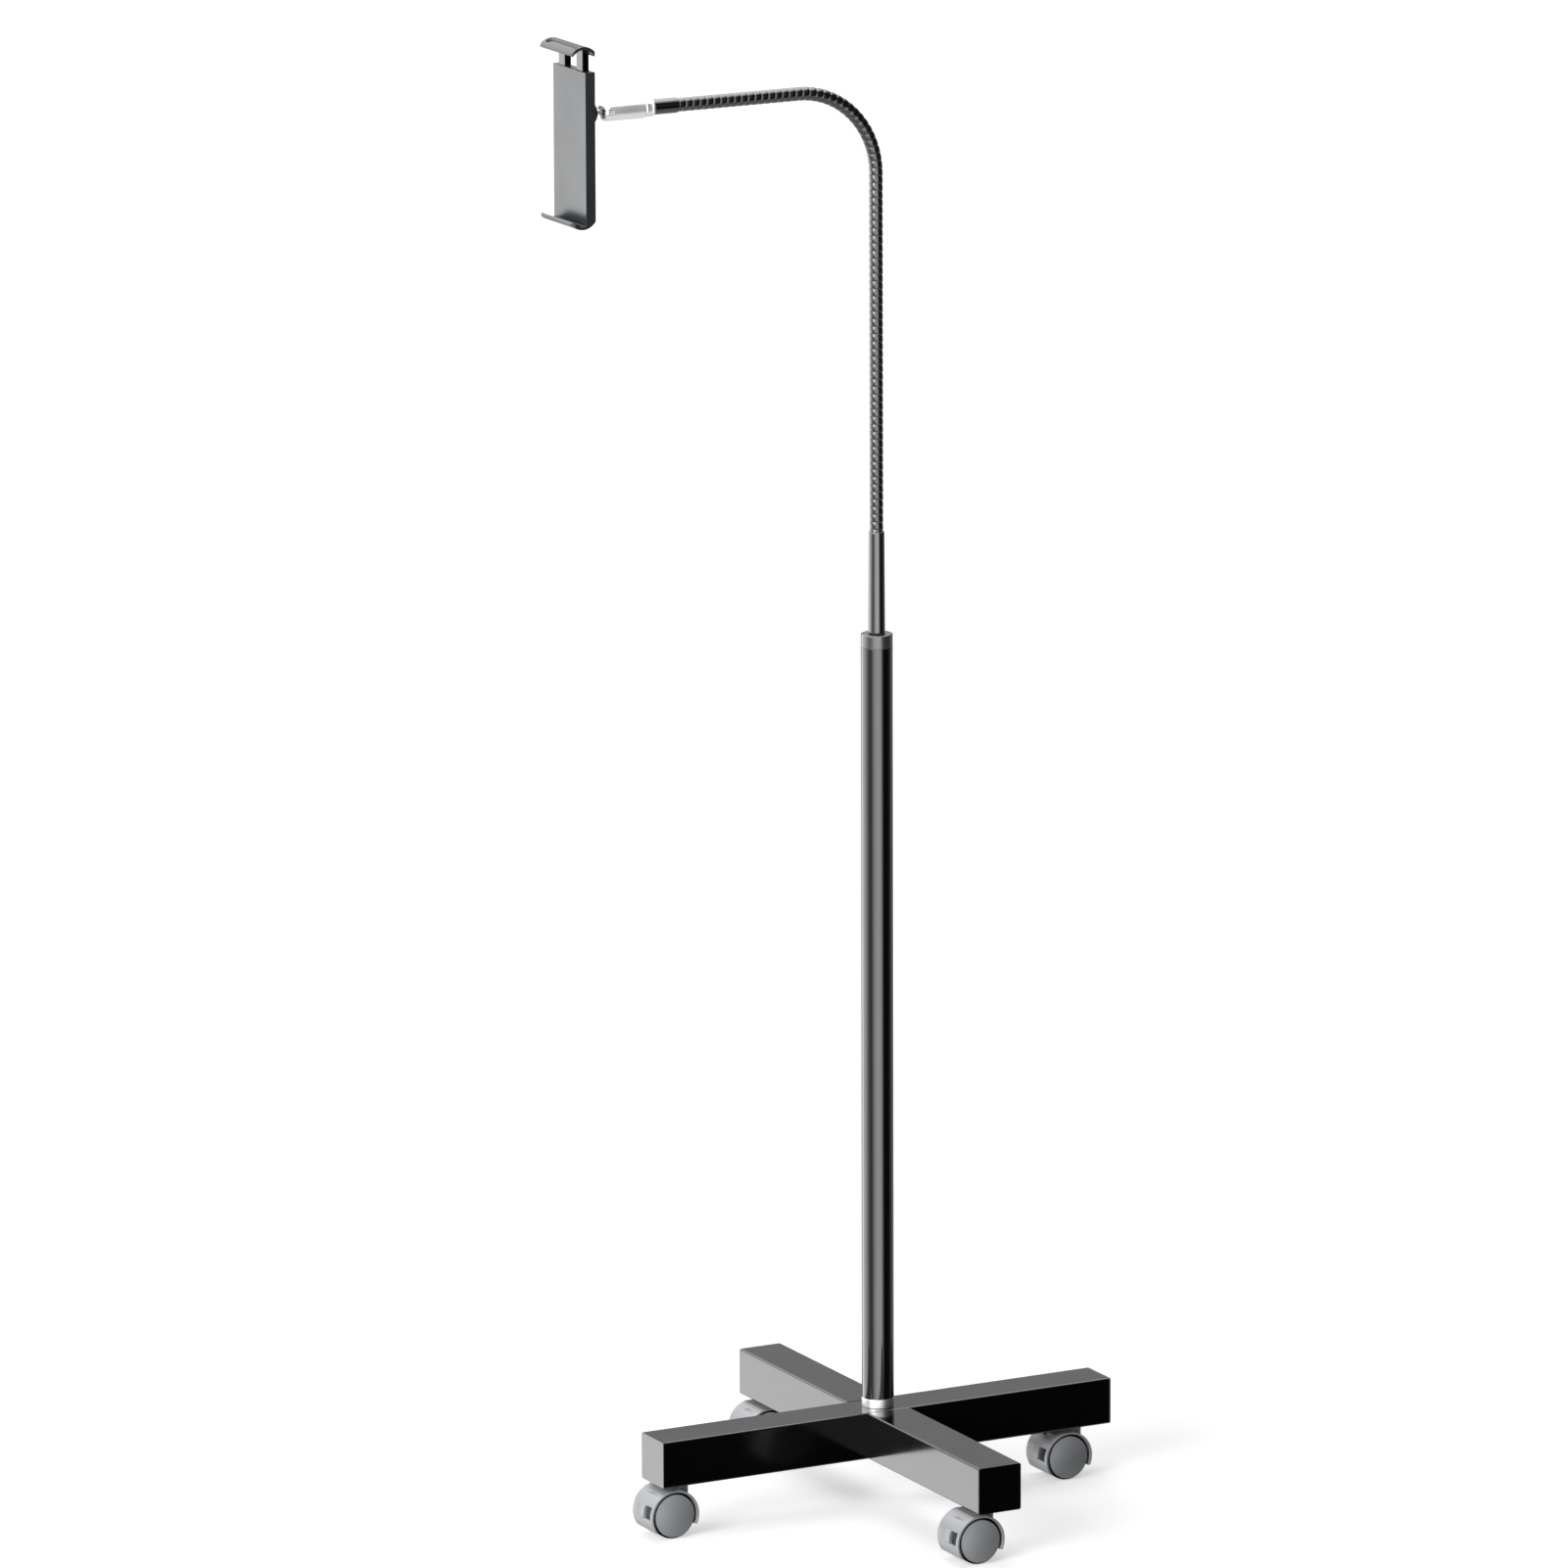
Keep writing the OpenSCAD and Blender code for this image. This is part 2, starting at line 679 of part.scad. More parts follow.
module lower_grip() {
  color("#17171a") at_holder() grip(curl_low_x, curl_low_z, false);
}

module upper_grip() {
  color("#17171a") at_holder() grip(curl_up_x, curl_up_z, true);
}

// Upper jaw: a curl on two posts that slide in the holder, with a shallow recess on top
module upper_jaw() {
  color("#6c6e72") at_holder() {
    difference() {
      intersection() {
        curl(curl_up_x, curl_up_z, true);
        jaw_plan(curl_up_z, jaw_top + 1);
      }
      intersection() {
        difference() {
          curl_rod(curl_up_x, curl_up_z, jaw_r + 1);
          curl_rod(curl_up_x, curl_up_z, jaw_r - recess_deep);
        }
        union() {
          translate([recess_x - recess_r, -recess_half, curl_up_z])
            cube([2 * recess_r, 2 * recess_half, 2 * jaw_r]);
          for (s = [-1, 1]) translate([recess_x, s * recess_half, curl_up_z])
            cylinder(h = 2 * jaw_r, r = recess_r);
        }
      }
    }
    for (s = [-1, 1]) intersection() {
      translate([-holder_t + cover_t + slide_fit, s * post_mid - post_w / 2, post_low])
        cube([post_t, post_w, jaw_top - post_low]);
      union() {
        translate([-holder_t, -holder_w / 2, post_low])
          cube([holder_t, holder_w, curl_up_z - post_low]);
        curl_rod(curl_up_x, curl_up_z, jaw_r - 0.9);
      }
    }
  }
}

// Round wire wound on a helix about z, from z = 0 to h
module coil(r, wire, turns, h) {
  steps = 10;
  sides = 5;
  rings = turns * steps;
  points = [for (i = [0:rings], s = [0:sides - 1])
    let (a = 360 * i / steps, b = 360 * s / sides, rr = r + wire / 2 * cos(b))
    [rr * cos(a), rr * sin(a), wire / 2 + (h - wire) * i / rings + wire / 2 * sin(b)]];
  skin = [for (i = [0:rings - 1], s = [0:sides - 1])
    let (t = (s + 1) % sides, low = i * sides, high = (i + 1) * sides)
    each [[low + s, high + s, high + t], [low + s, high + t, low + t]]];
  polyhedron(points, concat(
    skin,
    [[for (s = [0:sides - 1]) s]],
    [[for (s = [sides - 1:-1:0]) rings * sides + s]]
  ), convexity = 10);
}

// Tension springs that pull the posts down
module jaw_springs() {
  middle = -holder_t + cover_t + slide_fit + post_t / 2;
  color("#a8abb0") at_holder() for (s = [-1, 1])
    translate([middle, s * post_mid, spring_low])
      coil(spring_r, spring_wire, spring_turns, post_low - spring_low);
}

base_tube_long();
base_tube_short(-1);  // base_tube_short_1
base_tube_short(1);  // base_tube_short_2
arm_end_caps();
hub_spigot();
hub_bolt();
hub_washer();
caster_sockets();
caster_stems();
column_tube();
column_collar();
caster_hood(1);  // caster_hood_1
caster_axle(1);  // caster_axle_1
caster_wheel(1, 1);  // caster_wheel_1a
caster_wheel(1, -1);  // caster_wheel_1b
caster_hood(2);  // caster_hood_2
caster_axle(2);  // caster_axle_2
caster_wheel(2, 1);  // caster_wheel_2a
caster_wheel(2, -1);  // caster_wheel_2b
caster_hood(3);  // caster_hood_3
caster_axle(3);  // caster_axle_3
caster_wheel(3, 1);  // caster_wheel_3a
caster_wheel(3, -1);  // caster_wheel_3b
caster_hood(4);  // caster_hood_4
caster_axle(4);  // caster_axle_4
caster_wheel(4, 1);  // caster_wheel_4a
caster_wheel(4, -1);  // caster_wheel_4b
lower_ferrule();
hose_link(0);  // hose_link_01
hose_link(1);  // hose_link_02
hose_link(2);  // hose_link_03
hose_link(3);  // hose_link_04
hose_link(4);  // hose_link_05
hose_link(5);  // hose_link_06
hose_link(6);  // hose_link_07
hose_link(7);  // hose_link_08
hose_link(8);  // hose_link_09
hose_link(9);  // hose_link_10
hose_link(10);  // hose_link_11
hose_link(11);  // hose_link_12
hose_link(12);  // hose_link_13
upper_ferrule();
lock_ring();
socket_housing();
ball_stud();
stud_nut();
stud_washer();
front_shell();
rear_cover();
lower_grip();
cover_screws();
jaw_springs();
upper_jaw();
upper_grip();
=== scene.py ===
"""Looks, light and camera for the tablet floor stand. Metres, +Z up, and -X is the front."""

import math

import bmesh
import bpy
from mathutils import Matrix, Vector


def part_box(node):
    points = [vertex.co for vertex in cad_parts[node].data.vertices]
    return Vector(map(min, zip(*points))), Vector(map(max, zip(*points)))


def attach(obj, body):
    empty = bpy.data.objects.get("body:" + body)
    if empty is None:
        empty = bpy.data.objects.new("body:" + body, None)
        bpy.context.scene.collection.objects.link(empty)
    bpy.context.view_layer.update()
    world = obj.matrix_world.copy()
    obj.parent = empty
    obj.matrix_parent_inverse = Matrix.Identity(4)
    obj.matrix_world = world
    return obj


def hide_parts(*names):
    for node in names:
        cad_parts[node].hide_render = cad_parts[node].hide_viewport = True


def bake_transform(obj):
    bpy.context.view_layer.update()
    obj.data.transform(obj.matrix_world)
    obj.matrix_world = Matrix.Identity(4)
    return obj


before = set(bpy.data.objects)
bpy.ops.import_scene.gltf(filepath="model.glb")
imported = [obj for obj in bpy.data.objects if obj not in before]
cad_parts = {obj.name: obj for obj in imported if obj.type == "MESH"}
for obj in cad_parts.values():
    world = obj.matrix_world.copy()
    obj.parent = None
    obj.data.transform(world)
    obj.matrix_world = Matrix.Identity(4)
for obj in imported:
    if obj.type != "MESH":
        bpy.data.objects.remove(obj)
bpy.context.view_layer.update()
scene = bpy.context.scene
MM = 0.001
FULL_TURN, QUARTER = math.tau, math.pi / 2
# Size in millimetres of the wide, faint clouds in every finish
CLOUD_MM = 500 / 11


def place_camera():
    """The photograph's view: a long lens at the front left, a little above the stand."""
    eye, target, roll = Vector((-4.9645, -9.3407, 3.0527)), Vector((-0.0488, 0, 0.6647)), -0.0033
    back = (eye - target).normalized()
    right = Vector((0, 0, 1)).cross(back).normalized()
    up = back.cross(right)
    right, up = (
        right * math.cos(roll) + up * math.sin(roll),
        up * math.cos(roll) - right * math.sin(roll),
    )
    lens = bpy.data.cameras.new("camera")
    lens.lens, lens.sensor_width, lens.clip_end = 284.38, 36, 60
    camera = bpy.data.objects.new("camera", lens)
    camera.matrix_world = Matrix((right, up, back)).transposed().to_4x4()
    camera.matrix_world.translation = eye
    scene.collection.objects.link(camera)
    scene.camera = camera


place_camera()

# Materials


def tone(code):
    """An sRGB hex colour as linear values."""
    parts = [int(code[i : i + 2], 16) / 255 for i in (1, 3, 5)]
    return [p / 12.92 if p <= 0.04045 else ((p + 0.055) / 1.055) ** 2.4 for p in parts] + [1]


def add(tree, kind, sockets=None, **settings):
    """Adds a node with its settings. A socket's value is a constant or another node's output."""
    made = tree.nodes.new(kind)
    for name, value in settings.items():
        setattr(made, name, value)
    for name, value in (sockets or {}).items():
        if isinstance(value, bpy.types.NodeSocket):
            tree.links.new(value, made.inputs[name])
        else:
            made.inputs[name].default_value = value
    return made


def finish_of(name, colour, rough, spread=0.03, grain_mm=0.6, depth_mm=0.01, shade=0.06, **shader):
    """A surface whose colour and roughness drift in wide clouds, with a fine grain over it.

    The real grain is finer still, and is drawn 0.4 mm or more across so that it shows.
    """
    finish = bpy.data.materials.new(name)
    finish.use_nodes = True
    tree = finish.node_tree
    surface = tree.nodes["Principled BSDF"]
    where = add(tree, "ShaderNodeTexCoord").outputs["Object"]
    grain = add(
        tree,
        "ShaderNodeTexNoise",
        {"Vector": where, "Scale": 1 / (grain_mm * MM), "Detail": 3.0, "Roughness": 0.55},
    ).outputs["Fac"]
    cloud = add(
        tree, "ShaderNodeTexNoise", {"Vector": where, "Scale": 1 / (CLOUD_MM * MM), "Detail": 4.0}
    ).outputs["Fac"]
    wander = add(
        tree,
        "ShaderNodeMapRange",
        {
            "Value": cloud, "From Min": 0.3, "From Max": 0.7,
            "To Min": rough - spread, "To Max": rough + spread,
        },
    ).outputs["Result"]
    base = tone(colour)
    dark = [c * (1 - shade) for c in base[:3]] + [1]
    light = [min(1, c * (1 + shade)) for c in base[:3]] + [1]
    mixed = add(tree, "ShaderNodeMix", {0: cloud, 6: dark, 7: light}, data_type="RGBA")
    tree.links.new(mixed.outputs[2], surface.inputs["Base Color"])
    tree.links.new(wander, surface.inputs["Roughness"])
    bump = add(
        tree, "ShaderNodeBump", {"Height": grain, "Strength": 0.5, "Distance": depth_mm * MM}
    ).outputs["Normal"]
    tree.links.new(bump, surface.inputs["Normal"])
    for socket, value in shader.items():
        surface.inputs[socket.replace("_", " ")].default_value = value
    return finish


# Gloss black powder coat, baked on the square tubes: near black, mirror-like, faint orange peel.
POWDER_BLACK = finish_of(
    "powder_coat_gloss_black", "#08080A", 0.12, 0.02, 2.2, 0.012, 0.1, IOR=1.4
)
# Sprayed and polished enamel on the round parts: black, with sharper and stronger streaks.
ENAMEL_BLACK = finish_of(
    "stoved_enamel_polished_black", "#0A0A0B", 0.1, 0.02, 1.6, 0.006, 0.08, IOR=1.7
)
# Satin chrome plate over turned brass and steel: almost white, with soft, hazy reflections.
CHROME = finish_of(
    "chrome_plate_satin", "#E4E5E7", 0.38, 0.03, 0.9, 0.002, 0.02, Metallic=1.0
)
# Turned steel with a satin grey lacquer: a clean dark grey with a short, soft shine.
COLLAR_GREY = finish_of(
    "lacquered_steel_satin_grey", "#4A4B4E", 0.16, 0.03, 0.5, 0.004, 0.05, IOR=1.75
)
# Wound steel strip, black oxide and oil: black, with small bright lines on each turn.
HOSE_BLACK = finish_of(
    "gooseneck_black_oxide", "#0C0C0E", 0.2, 0.04, 0.5, 0.006, 0.12, IOR=1.7
)
# Zinc plate on pressed and turned steel: pale grey, slightly cloudy.
ZINC = finish_of(
    "zinc_plate_bright", "#B9BBBE", 0.3, 0.06, 0.7, 0.004, 0.08, Metallic=1.0
)
# Nylon, injection moulded, fine spark-eroded grain: an even mid grey with a dull shine.
HOOD_GREY = finish_of(
    "nylon_moulded_grey", "#A6A8AB", 0.45, 0.05, 0.45, 0.012, 0.03, IOR=1.53
)
# The long ferrule, turned steel in a thin black lacquer that lets the metal shine through.
FERRULE_DARK = finish_of(
    "lacquered_steel_gloss_dark", "#1C1D1F", 0.13, 0.02, 0.5, 0.004, 0.05, IOR=1.85
)
# Polypropylene wheel, moulded smoother than the hood and a little darker.
WHEEL_GREY = finish_of(
    "polypropylene_moulded_grey", "#A9ABAD", 0.32, 0.05, 0.6, 0.008, 0.04, IOR=1.49
)
# Polypropylene tread, coloured near black and dull with no shine as painted shade, so its gap to
# the hood is dark.
TREAD_PAINTED_SHADE = finish_of(
    "polypropylene_tread_painted_shade", "#141516", 0.8, 0.08, 0.8, 0.03, 0.15, IOR=1.49,
    Specular_IOR_Level=0.02,
)
# ABS holder, moulded with a fine satin grain: dark, and pale grey where it faces the bright side.
ABS_GREY = finish_of(
    "abs_moulded_satin_grey", "#313336", 0.3, 0.03, 0.4, 0.01, 0.03, IOR=1.4
)
# ABS in black, the same grain: the holder's back and the plugs inside the arms.
ABS_BLACK = finish_of(
    "abs_moulded_satin_black", "#151617", 0.34, 0.04, 0.4, 0.01, 0.08, IOR=1.5
)
# Silicone pads: matt black, soft, a trace of dust in the grain.
SILICONE = finish_of("silicone_pad_matt", "#1E1E20", 0.72, 0.08, 0.7, 0.03, 0.2, IOR=1.42)

# Mesh tools


def piece_from(name, points, faces, finish, sharp=32):
    """A smooth-shaded mesh whose folds over the sharp angle, in degrees, stay crisp."""
    mesh = bpy.data.meshes.new(name)
    mesh.from_pydata(points, [], faces)
    made = bmesh.new()
    made.from_mesh(mesh)
    bmesh.ops.recalc_face_normals(made, faces=made.faces)
    made.to_mesh(mesh)
    made.free()
    return show(name, mesh, finish, sharp)


def show(name, mesh, finish, sharp=32):
    """Links a mesh as a piece, smooth where its faces meet below the sharp angle."""
    for face in mesh.polygons:
        face.use_smooth = True
    mesh.set_sharp_from_angle(angle=math.radians(sharp))
    mesh.materials.clear()
    mesh.materials.append(finish)
    piece = bpy.data.objects.new(name, mesh)
    scene.collection.objects.link(piece)
    return level(piece)


def level(piece):
    """Keeps large faces flat to the eye, so that only the eased edges between them shade round."""
    shading = piece.modifiers.new("level", "WEIGHTED_NORMAL")
    shading.keep_sharp, shading.weight = True, 100
    return piece


def eased(loop, radius, axis=None):
    """A closed loop of points with each corner rounded by a short curve, save those on an axis."""
    out, count = [], len(loop)
    for i, corner in enumerate(loop):
        if axis is not None and corner[0] - axis < 1e-6:
            out.append(tuple(corner))
            continue
        here = Vector(corner)
        before, after = Vector(loop[i - 1]) - here, Vector(loop[(i + 1) % count]) - here
        cut = min(radius, before.length * 0.45, after.length * 0.45)
        if cut < 1e-7 or before.angle(after, math.pi) > math.radians(172):
            out.append(tuple(corner))
            continue
        a, b = here + before.normalized() * cut, here + after.normalized() * cut
        for t in (0, 0.25, 0.5, 0.75, 1):
            out.append(tuple(a.lerp(here, t).lerp(here.lerp(b, t), t)))
    return out


def turned(name, profile, place, finish, steps=96, ease=0.25, sharp=32):
    """A lathe-turned piece: profile is a closed loop of (radius, height) in millimetres."""
    loop = eased(profile, ease, 0)
    points, rings, faces = [], [], []
    for r, z in loop:
        if r < 1e-6:
            rings.append([len(points)])
            points.append(place @ Vector((0, 0, z * MM)))
            continue
        rings.append(list(range(len(points), len(points) + steps)))
        for i in range(steps):
            a = FULL_TURN * i / steps
            points.append(place @ Vector((r * MM * math.cos(a), r * MM * math.sin(a), z * MM)))
    for lower, upper in zip(rings, rings[1:] + rings[:1]):
        if len(lower) == 1 and len(upper) == 1:
            continue
        for i in range(steps):
            j = (i + 1) % steps
            corners = [
                lower[i % len(lower)], lower[j % len(lower)],
                upper[j % len(upper)], upper[i % len(upper)],
            ]
            faces.append(list(dict.fromkeys(corners)))
    return piece_from(name, points, faces, finish, sharp)


def ease_edges(made, edges, ease):
    """Rounds edges by a radius in millimetres."""
    bmesh.ops.bevel(
        made, geom=edges, offset=ease * MM, segments=3, profile=0.5, affect="EDGES",
        clamp_overlap=True,
    )


def slab(name, outline, low, high, place, finish, ease=0.0, sharp=32):
    """An outline in millimetres, thickened from low to high, with its rims eased."""
    made = bmesh.new()
    base = [made.verts.new((x * MM, y * MM, low * MM)) for x, y in outline]
    face = made.faces.new(base)
    grown = bmesh.ops.extrude_face_region(made, geom=[face])
    raised = [g for g in grown["geom"] if isinstance(g, bmesh.types.BMVert)]
    bmesh.ops.translate(made, verts=raised, vec=(0, 0, (high - low) * MM))
    bmesh.ops.recalc_face_normals(made, faces=made.faces)
    if ease:
        rims = [e for e in made.edges if abs(e.verts[0].co.z - e.verts[1].co.z) < 1e-9]
        ease_edges(made, rims, ease)
    made.transform(place)
    bmesh.ops.recalc_face_normals(made, faces=made.faces)
    mesh = bpy.data.meshes.new(name)
    made.to_mesh(mesh)
    made.free()
    return show(name, mesh, finish, sharp)


def carve(piece, *tools, how="DIFFERENCE", sharp=32):
    """Cuts, joins or crops a piece with others, which are used up."""
    piece.modifiers.clear()
    for tool in tools:
        step = piece.modifiers.new("carve", "BOOLEAN")
        step.operation, step.object, step.solver = how, tool, "EXACT"
        bpy.context.view_layer.update()
        seen = piece.evaluated_get(bpy.context.evaluated_depsgraph_get())
        mesh = bpy.data.meshes.new_from_object(seen)
        piece.modifiers.clear()
        old = piece.data
        piece.data = mesh
        bpy.data.meshes.remove(old)
        spent = tool.data
        bpy.data.objects.remove(tool)
        bpy.data.meshes.remove(spent)
    made = bmesh.new()
    made.from_mesh(piece.data)
    bmesh.ops.remove_doubles(made, verts=made.verts, dist=2e-6)
    bmesh.ops.dissolve_degenerate(made, edges=made.edges, dist=1e-6)
    made.to_mesh(piece.data)
    made.free()
    for face in piece.data.polygons:
        face.use_smooth = True
    piece.data.set_sharp_from_angle(angle=math.radians(sharp))
    return level(piece)


def block(name, low, high, place, finish, ease=0.0):
    """A box between two corners in millimetres, with every edge eased."""
    (x0, y0, z0), (x1, y1, z1) = low, high
    made = bmesh.new()
    base = (x0, y0), (x1, y0), (x1, y1), (x0, y1)
    corners = [made.verts.new((x * MM, y * MM, z * MM)) for z in (z0, z1) for x, y in base]
    upright = (0, 1, 5, 4), (1, 2, 6, 5), (2, 3, 7, 6), (3, 0, 4, 7)
    for ring in ((3, 2, 1, 0), (4, 5, 6, 7), *upright):
        made.faces.new([corners[i] for i in ring])
    if ease:
        ease_edges(made, made.edges[:], ease)
    made.transform(place)
    bmesh.ops.recalc_face_normals(made, faces=made.faces)
    mesh = bpy.data.meshes.new(name)
    made.to_mesh(mesh)
    made.free()
    return show(name, mesh, finish)


def arc(cx, cy, r, start, end, steps):
    """Points of an arc in millimetres, its angles in degrees."""
    return [
        (cx + r * math.cos(math.radians(start + (end - start) * i / steps)),
         cy + r * math.sin(math.radians(start + (end - start) * i / steps)))
        for i in range(steps + 1)
    ]


def circle(cx, cy, r, steps):
    """Points of a full circle in millimetres."""
    return arc(cx, cy, r, 0, 360, steps)[:-1]


def at(x, y, z, *turns):
    """A place in the stand, in metres, then turns as (degrees, axis)."""
    place = Matrix.Translation((x, y, z))
    for degrees, axis in turns:
        place = place @ Matrix.Rotation(math.radians(degrees), 4, axis)
    return place


def middle(node):
    """Middle of a solid's box, in metres."""
    low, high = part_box(node)
    return (Vector(low) + Vector(high)) / 2


def dress(node, finish):
    """Gives a carried-over solid its finish."""
    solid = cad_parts[node]
    solid.data.materials.clear()
    solid.data.materials.append(finish)


# Places taken from the solids, in metres

COLUMN_X = middle("column_tube").x
BASE_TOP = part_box("base_tube_long")[1][2]
COLUMN_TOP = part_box("column_collar")[1][2]
HOSE_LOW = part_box("lower_ferrule")[1][2]
HEAD_Z = middle("lock_ring").z
HOSE_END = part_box("upper_ferrule")[1][0]
RING_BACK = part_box("lock_ring")[1][0]
NOSE_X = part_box("socket_housing")[0][0]
# The ball's middle behind the housing's nose, and the holder's thickness, in millimetres
BALL_IN, FACE_T = 6.6, 9.2
BALL_X = NOSE_X + BALL_IN * MM
HOLDER_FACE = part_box("front_shell")[1][0] - FACE_T * MM


def along_head(x):
    """Places a piece on the neck's level end, with its +Z toward the holder."""
    return at(x, 0, HEAD_Z, (-90, "Y"))


# Base: sizes in millimetres

ARM, ARM_WALL, ARM_EDGE = 42.0, 2.0, 1.6
HALF_BASE = 225.0
CAP_T, CAP_EDGE, CAP_EASE, CAP_LAP = 1.6, 1.9, 0.35, 0.3
PLUG_FIT, PLUG_EDGE, PLUG_DEEP = 0.2, 1.5, 12
# How far the casters' stems stand in from the arms' ends
STEM_IN = 27
COLUMN_R, COLUMN_BORE, PLUG_R = 14.3, 12.8, 12.7
SPIGOT_SHOWS, SPIGOT_TALL = 8, 68
COLLAR_SHOWS, COLLAR_DEEP, TAIL_BORE = 11.5, 41.5, 5.05


def arm_outline(size, r):
    """A square with rounded corners."""
    h = size / 2 - r
    corners = ((h, h, 0), (-h, h, 90), (-h, -h, 180), (h, -h, 270))
    return [point for x, y, start in corners for point in arc(x, y, r, start, start + 90, 5)]


def make_base():
    """The cross of square tubes, its end caps and the column's chrome foot."""
    mid = BASE_TOP - ARM / 2 * MM
    tube_end = HALF_BASE - CAP_T
    for name, turn, start in (
        ("base_tube_long", 0, -tube_end),
        ("base_tube_short_1", -90, ARM / 2),
        ("base_tube_short_2", 90, ARM / 2),
    ):
        place = at(COLUMN_X, 0, mid, (turn, "Z"), (90, "Y"))
        outside = arm_outline(ARM, ARM_EDGE)
        tube = slab(name + "_skin", outside, start, tube_end, place, POWDER_BLACK)
        inside = arm_outline(ARM - 2 * ARM_WALL, ARM_WALL / 2)
        carve(tube, slab("bore", inside, start - 1, tube_end + 1, place, POWDER_BLACK))
        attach(tube, "base")
        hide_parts(name)
    for number, turn in enumerate((180, 270, 0, 90), 1):
        place = at(COLUMN_X, 0, mid, (turn, "Z"), (90, "Y"))
        plate = slab(
            f"arm_end_cap_{number}", arm_outline(ARM, CAP_EDGE), tube_end, HALF_BASE, place,
            POWDER_BLACK, CAP_EASE,
        )
        inside = arm_outline(ARM - 2 * ARM_WALL - 2 * PLUG_FIT, PLUG_EDGE)
        plug = slab("plug", inside, tube_end - PLUG_DEEP, tube_end + CAP_LAP, place, ABS_BLACK)
        carve(plate, plug, how="UNION")
        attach(plate, "base")
        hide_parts("arm_end_caps")
    spigot = turned(
        "hub_spigot_chrome",
        [
            (0, 0), (COLUMN_R, 0), (COLUMN_R, SPIGOT_SHOWS), (PLUG_R, SPIGOT_SHOWS),
            (PLUG_R, SPIGOT_TALL), (0, SPIGOT_TALL),
        ],
        at(COLUMN_X, 0, BASE_TOP), CHROME, ease=0.4,
    )
    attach(spigot, "base")
    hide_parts("hub_spigot")
    for node in ("hub_bolt", "hub_washer", "caster_sockets", "caster_stems"):
        dress(node, ZINC)


def make_column():
    """The column's tube and its turned collar."""
    low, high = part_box("column_tube")
    length = (high[2] - low[2]) / MM
    tube = turned(
        "column_tube_skin",
        [(COLUMN_BORE, 0), (COLUMN_R, 0), (COLUMN_R, length), (COLUMN_BORE, length)],
        at(COLUMN_X, 0, low[2]), ENAMEL_BLACK, 128, 0.3,
    )
    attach(tube, "base")
    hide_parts("column_tube")
    collar = turned(
        "column_collar_turned",
        [
            (TAIL_BORE, -COLLAR_DEEP), (PLUG_R, -COLLAR_DEEP), (PLUG_R, -COLLAR_SHOWS),
            (COLUMN_R, -COLLAR_SHOWS), (COLUMN_R, -0.5), (COLUMN_R - 0.5, 0), (TAIL_BORE, 0),
        ],
        at(COLUMN_X, 0, COLUMN_TOP), COLLAR_GREY, 128, 0.3,
    )
    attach(collar, "base")
    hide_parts("column_collar")


# Casters: sizes in millimetres, heights above the axle, angles in degrees round it

WHEEL_R = 21.0
# How far the axle stands off the stem
TRAIL = 14.0
# The hood's radii, half width, flat top and the ends of its skirt
HOOD_R, HOOD_BORE, HOOD_HALF = 23.4, 21.5, 19
HOOD_TOP, HOOD_REAR, HOOD_FRONT = 22.6, -9.5, -13.5
WEB_HALF, WEB_R, WEB_ANGLES = 4, 22.8, (-15.2, 74.8)
BOSS_R, BOSS_LOW, STEM_BORE, AXLE_BORE = 7.2, 2, 5.05, 2.53
# The upright pad on the hood's front, the slot beside it and the small hole above
PAD_R, PAD_ANGLES, PAD_HALF = 24.4, (157, 185), 4.4
SLOT = (-25.4, -15, -2), (-18.4, -5, 9.5)
VENT_R, VENT_TURN = 1.6, -34
# Half sections of the wheel as (radius, distance from the hood's middle)
TREAD = (
    (2.55, 4.3), (6, 4.3), (6, 14.5), (17.6, 14.5), (18.4, 8.6), (20.2, 8.6),
    (21, 9.4), (21, 14.9), (20.4, 15.5), (2.55, 15.5),
)
DISC_RIM = (0, 15.6), (19.2, 15.6), (19.2, 17.4)
# The disc's dome: its middle, how far it falls to its edge, and the radii of its rings
CROWN_OUT, CROWN_DROP, CROWN_R = 20.5, 2.6, 18.7
CROWN_RINGS = 18.7, 17, 14.5, 12, 9, 6, 3, 0


def angle_at(height, r):
    """Angle, in degrees, at which a circle round the axle reaches a height."""
    return math.degrees(math.asin(height / r))


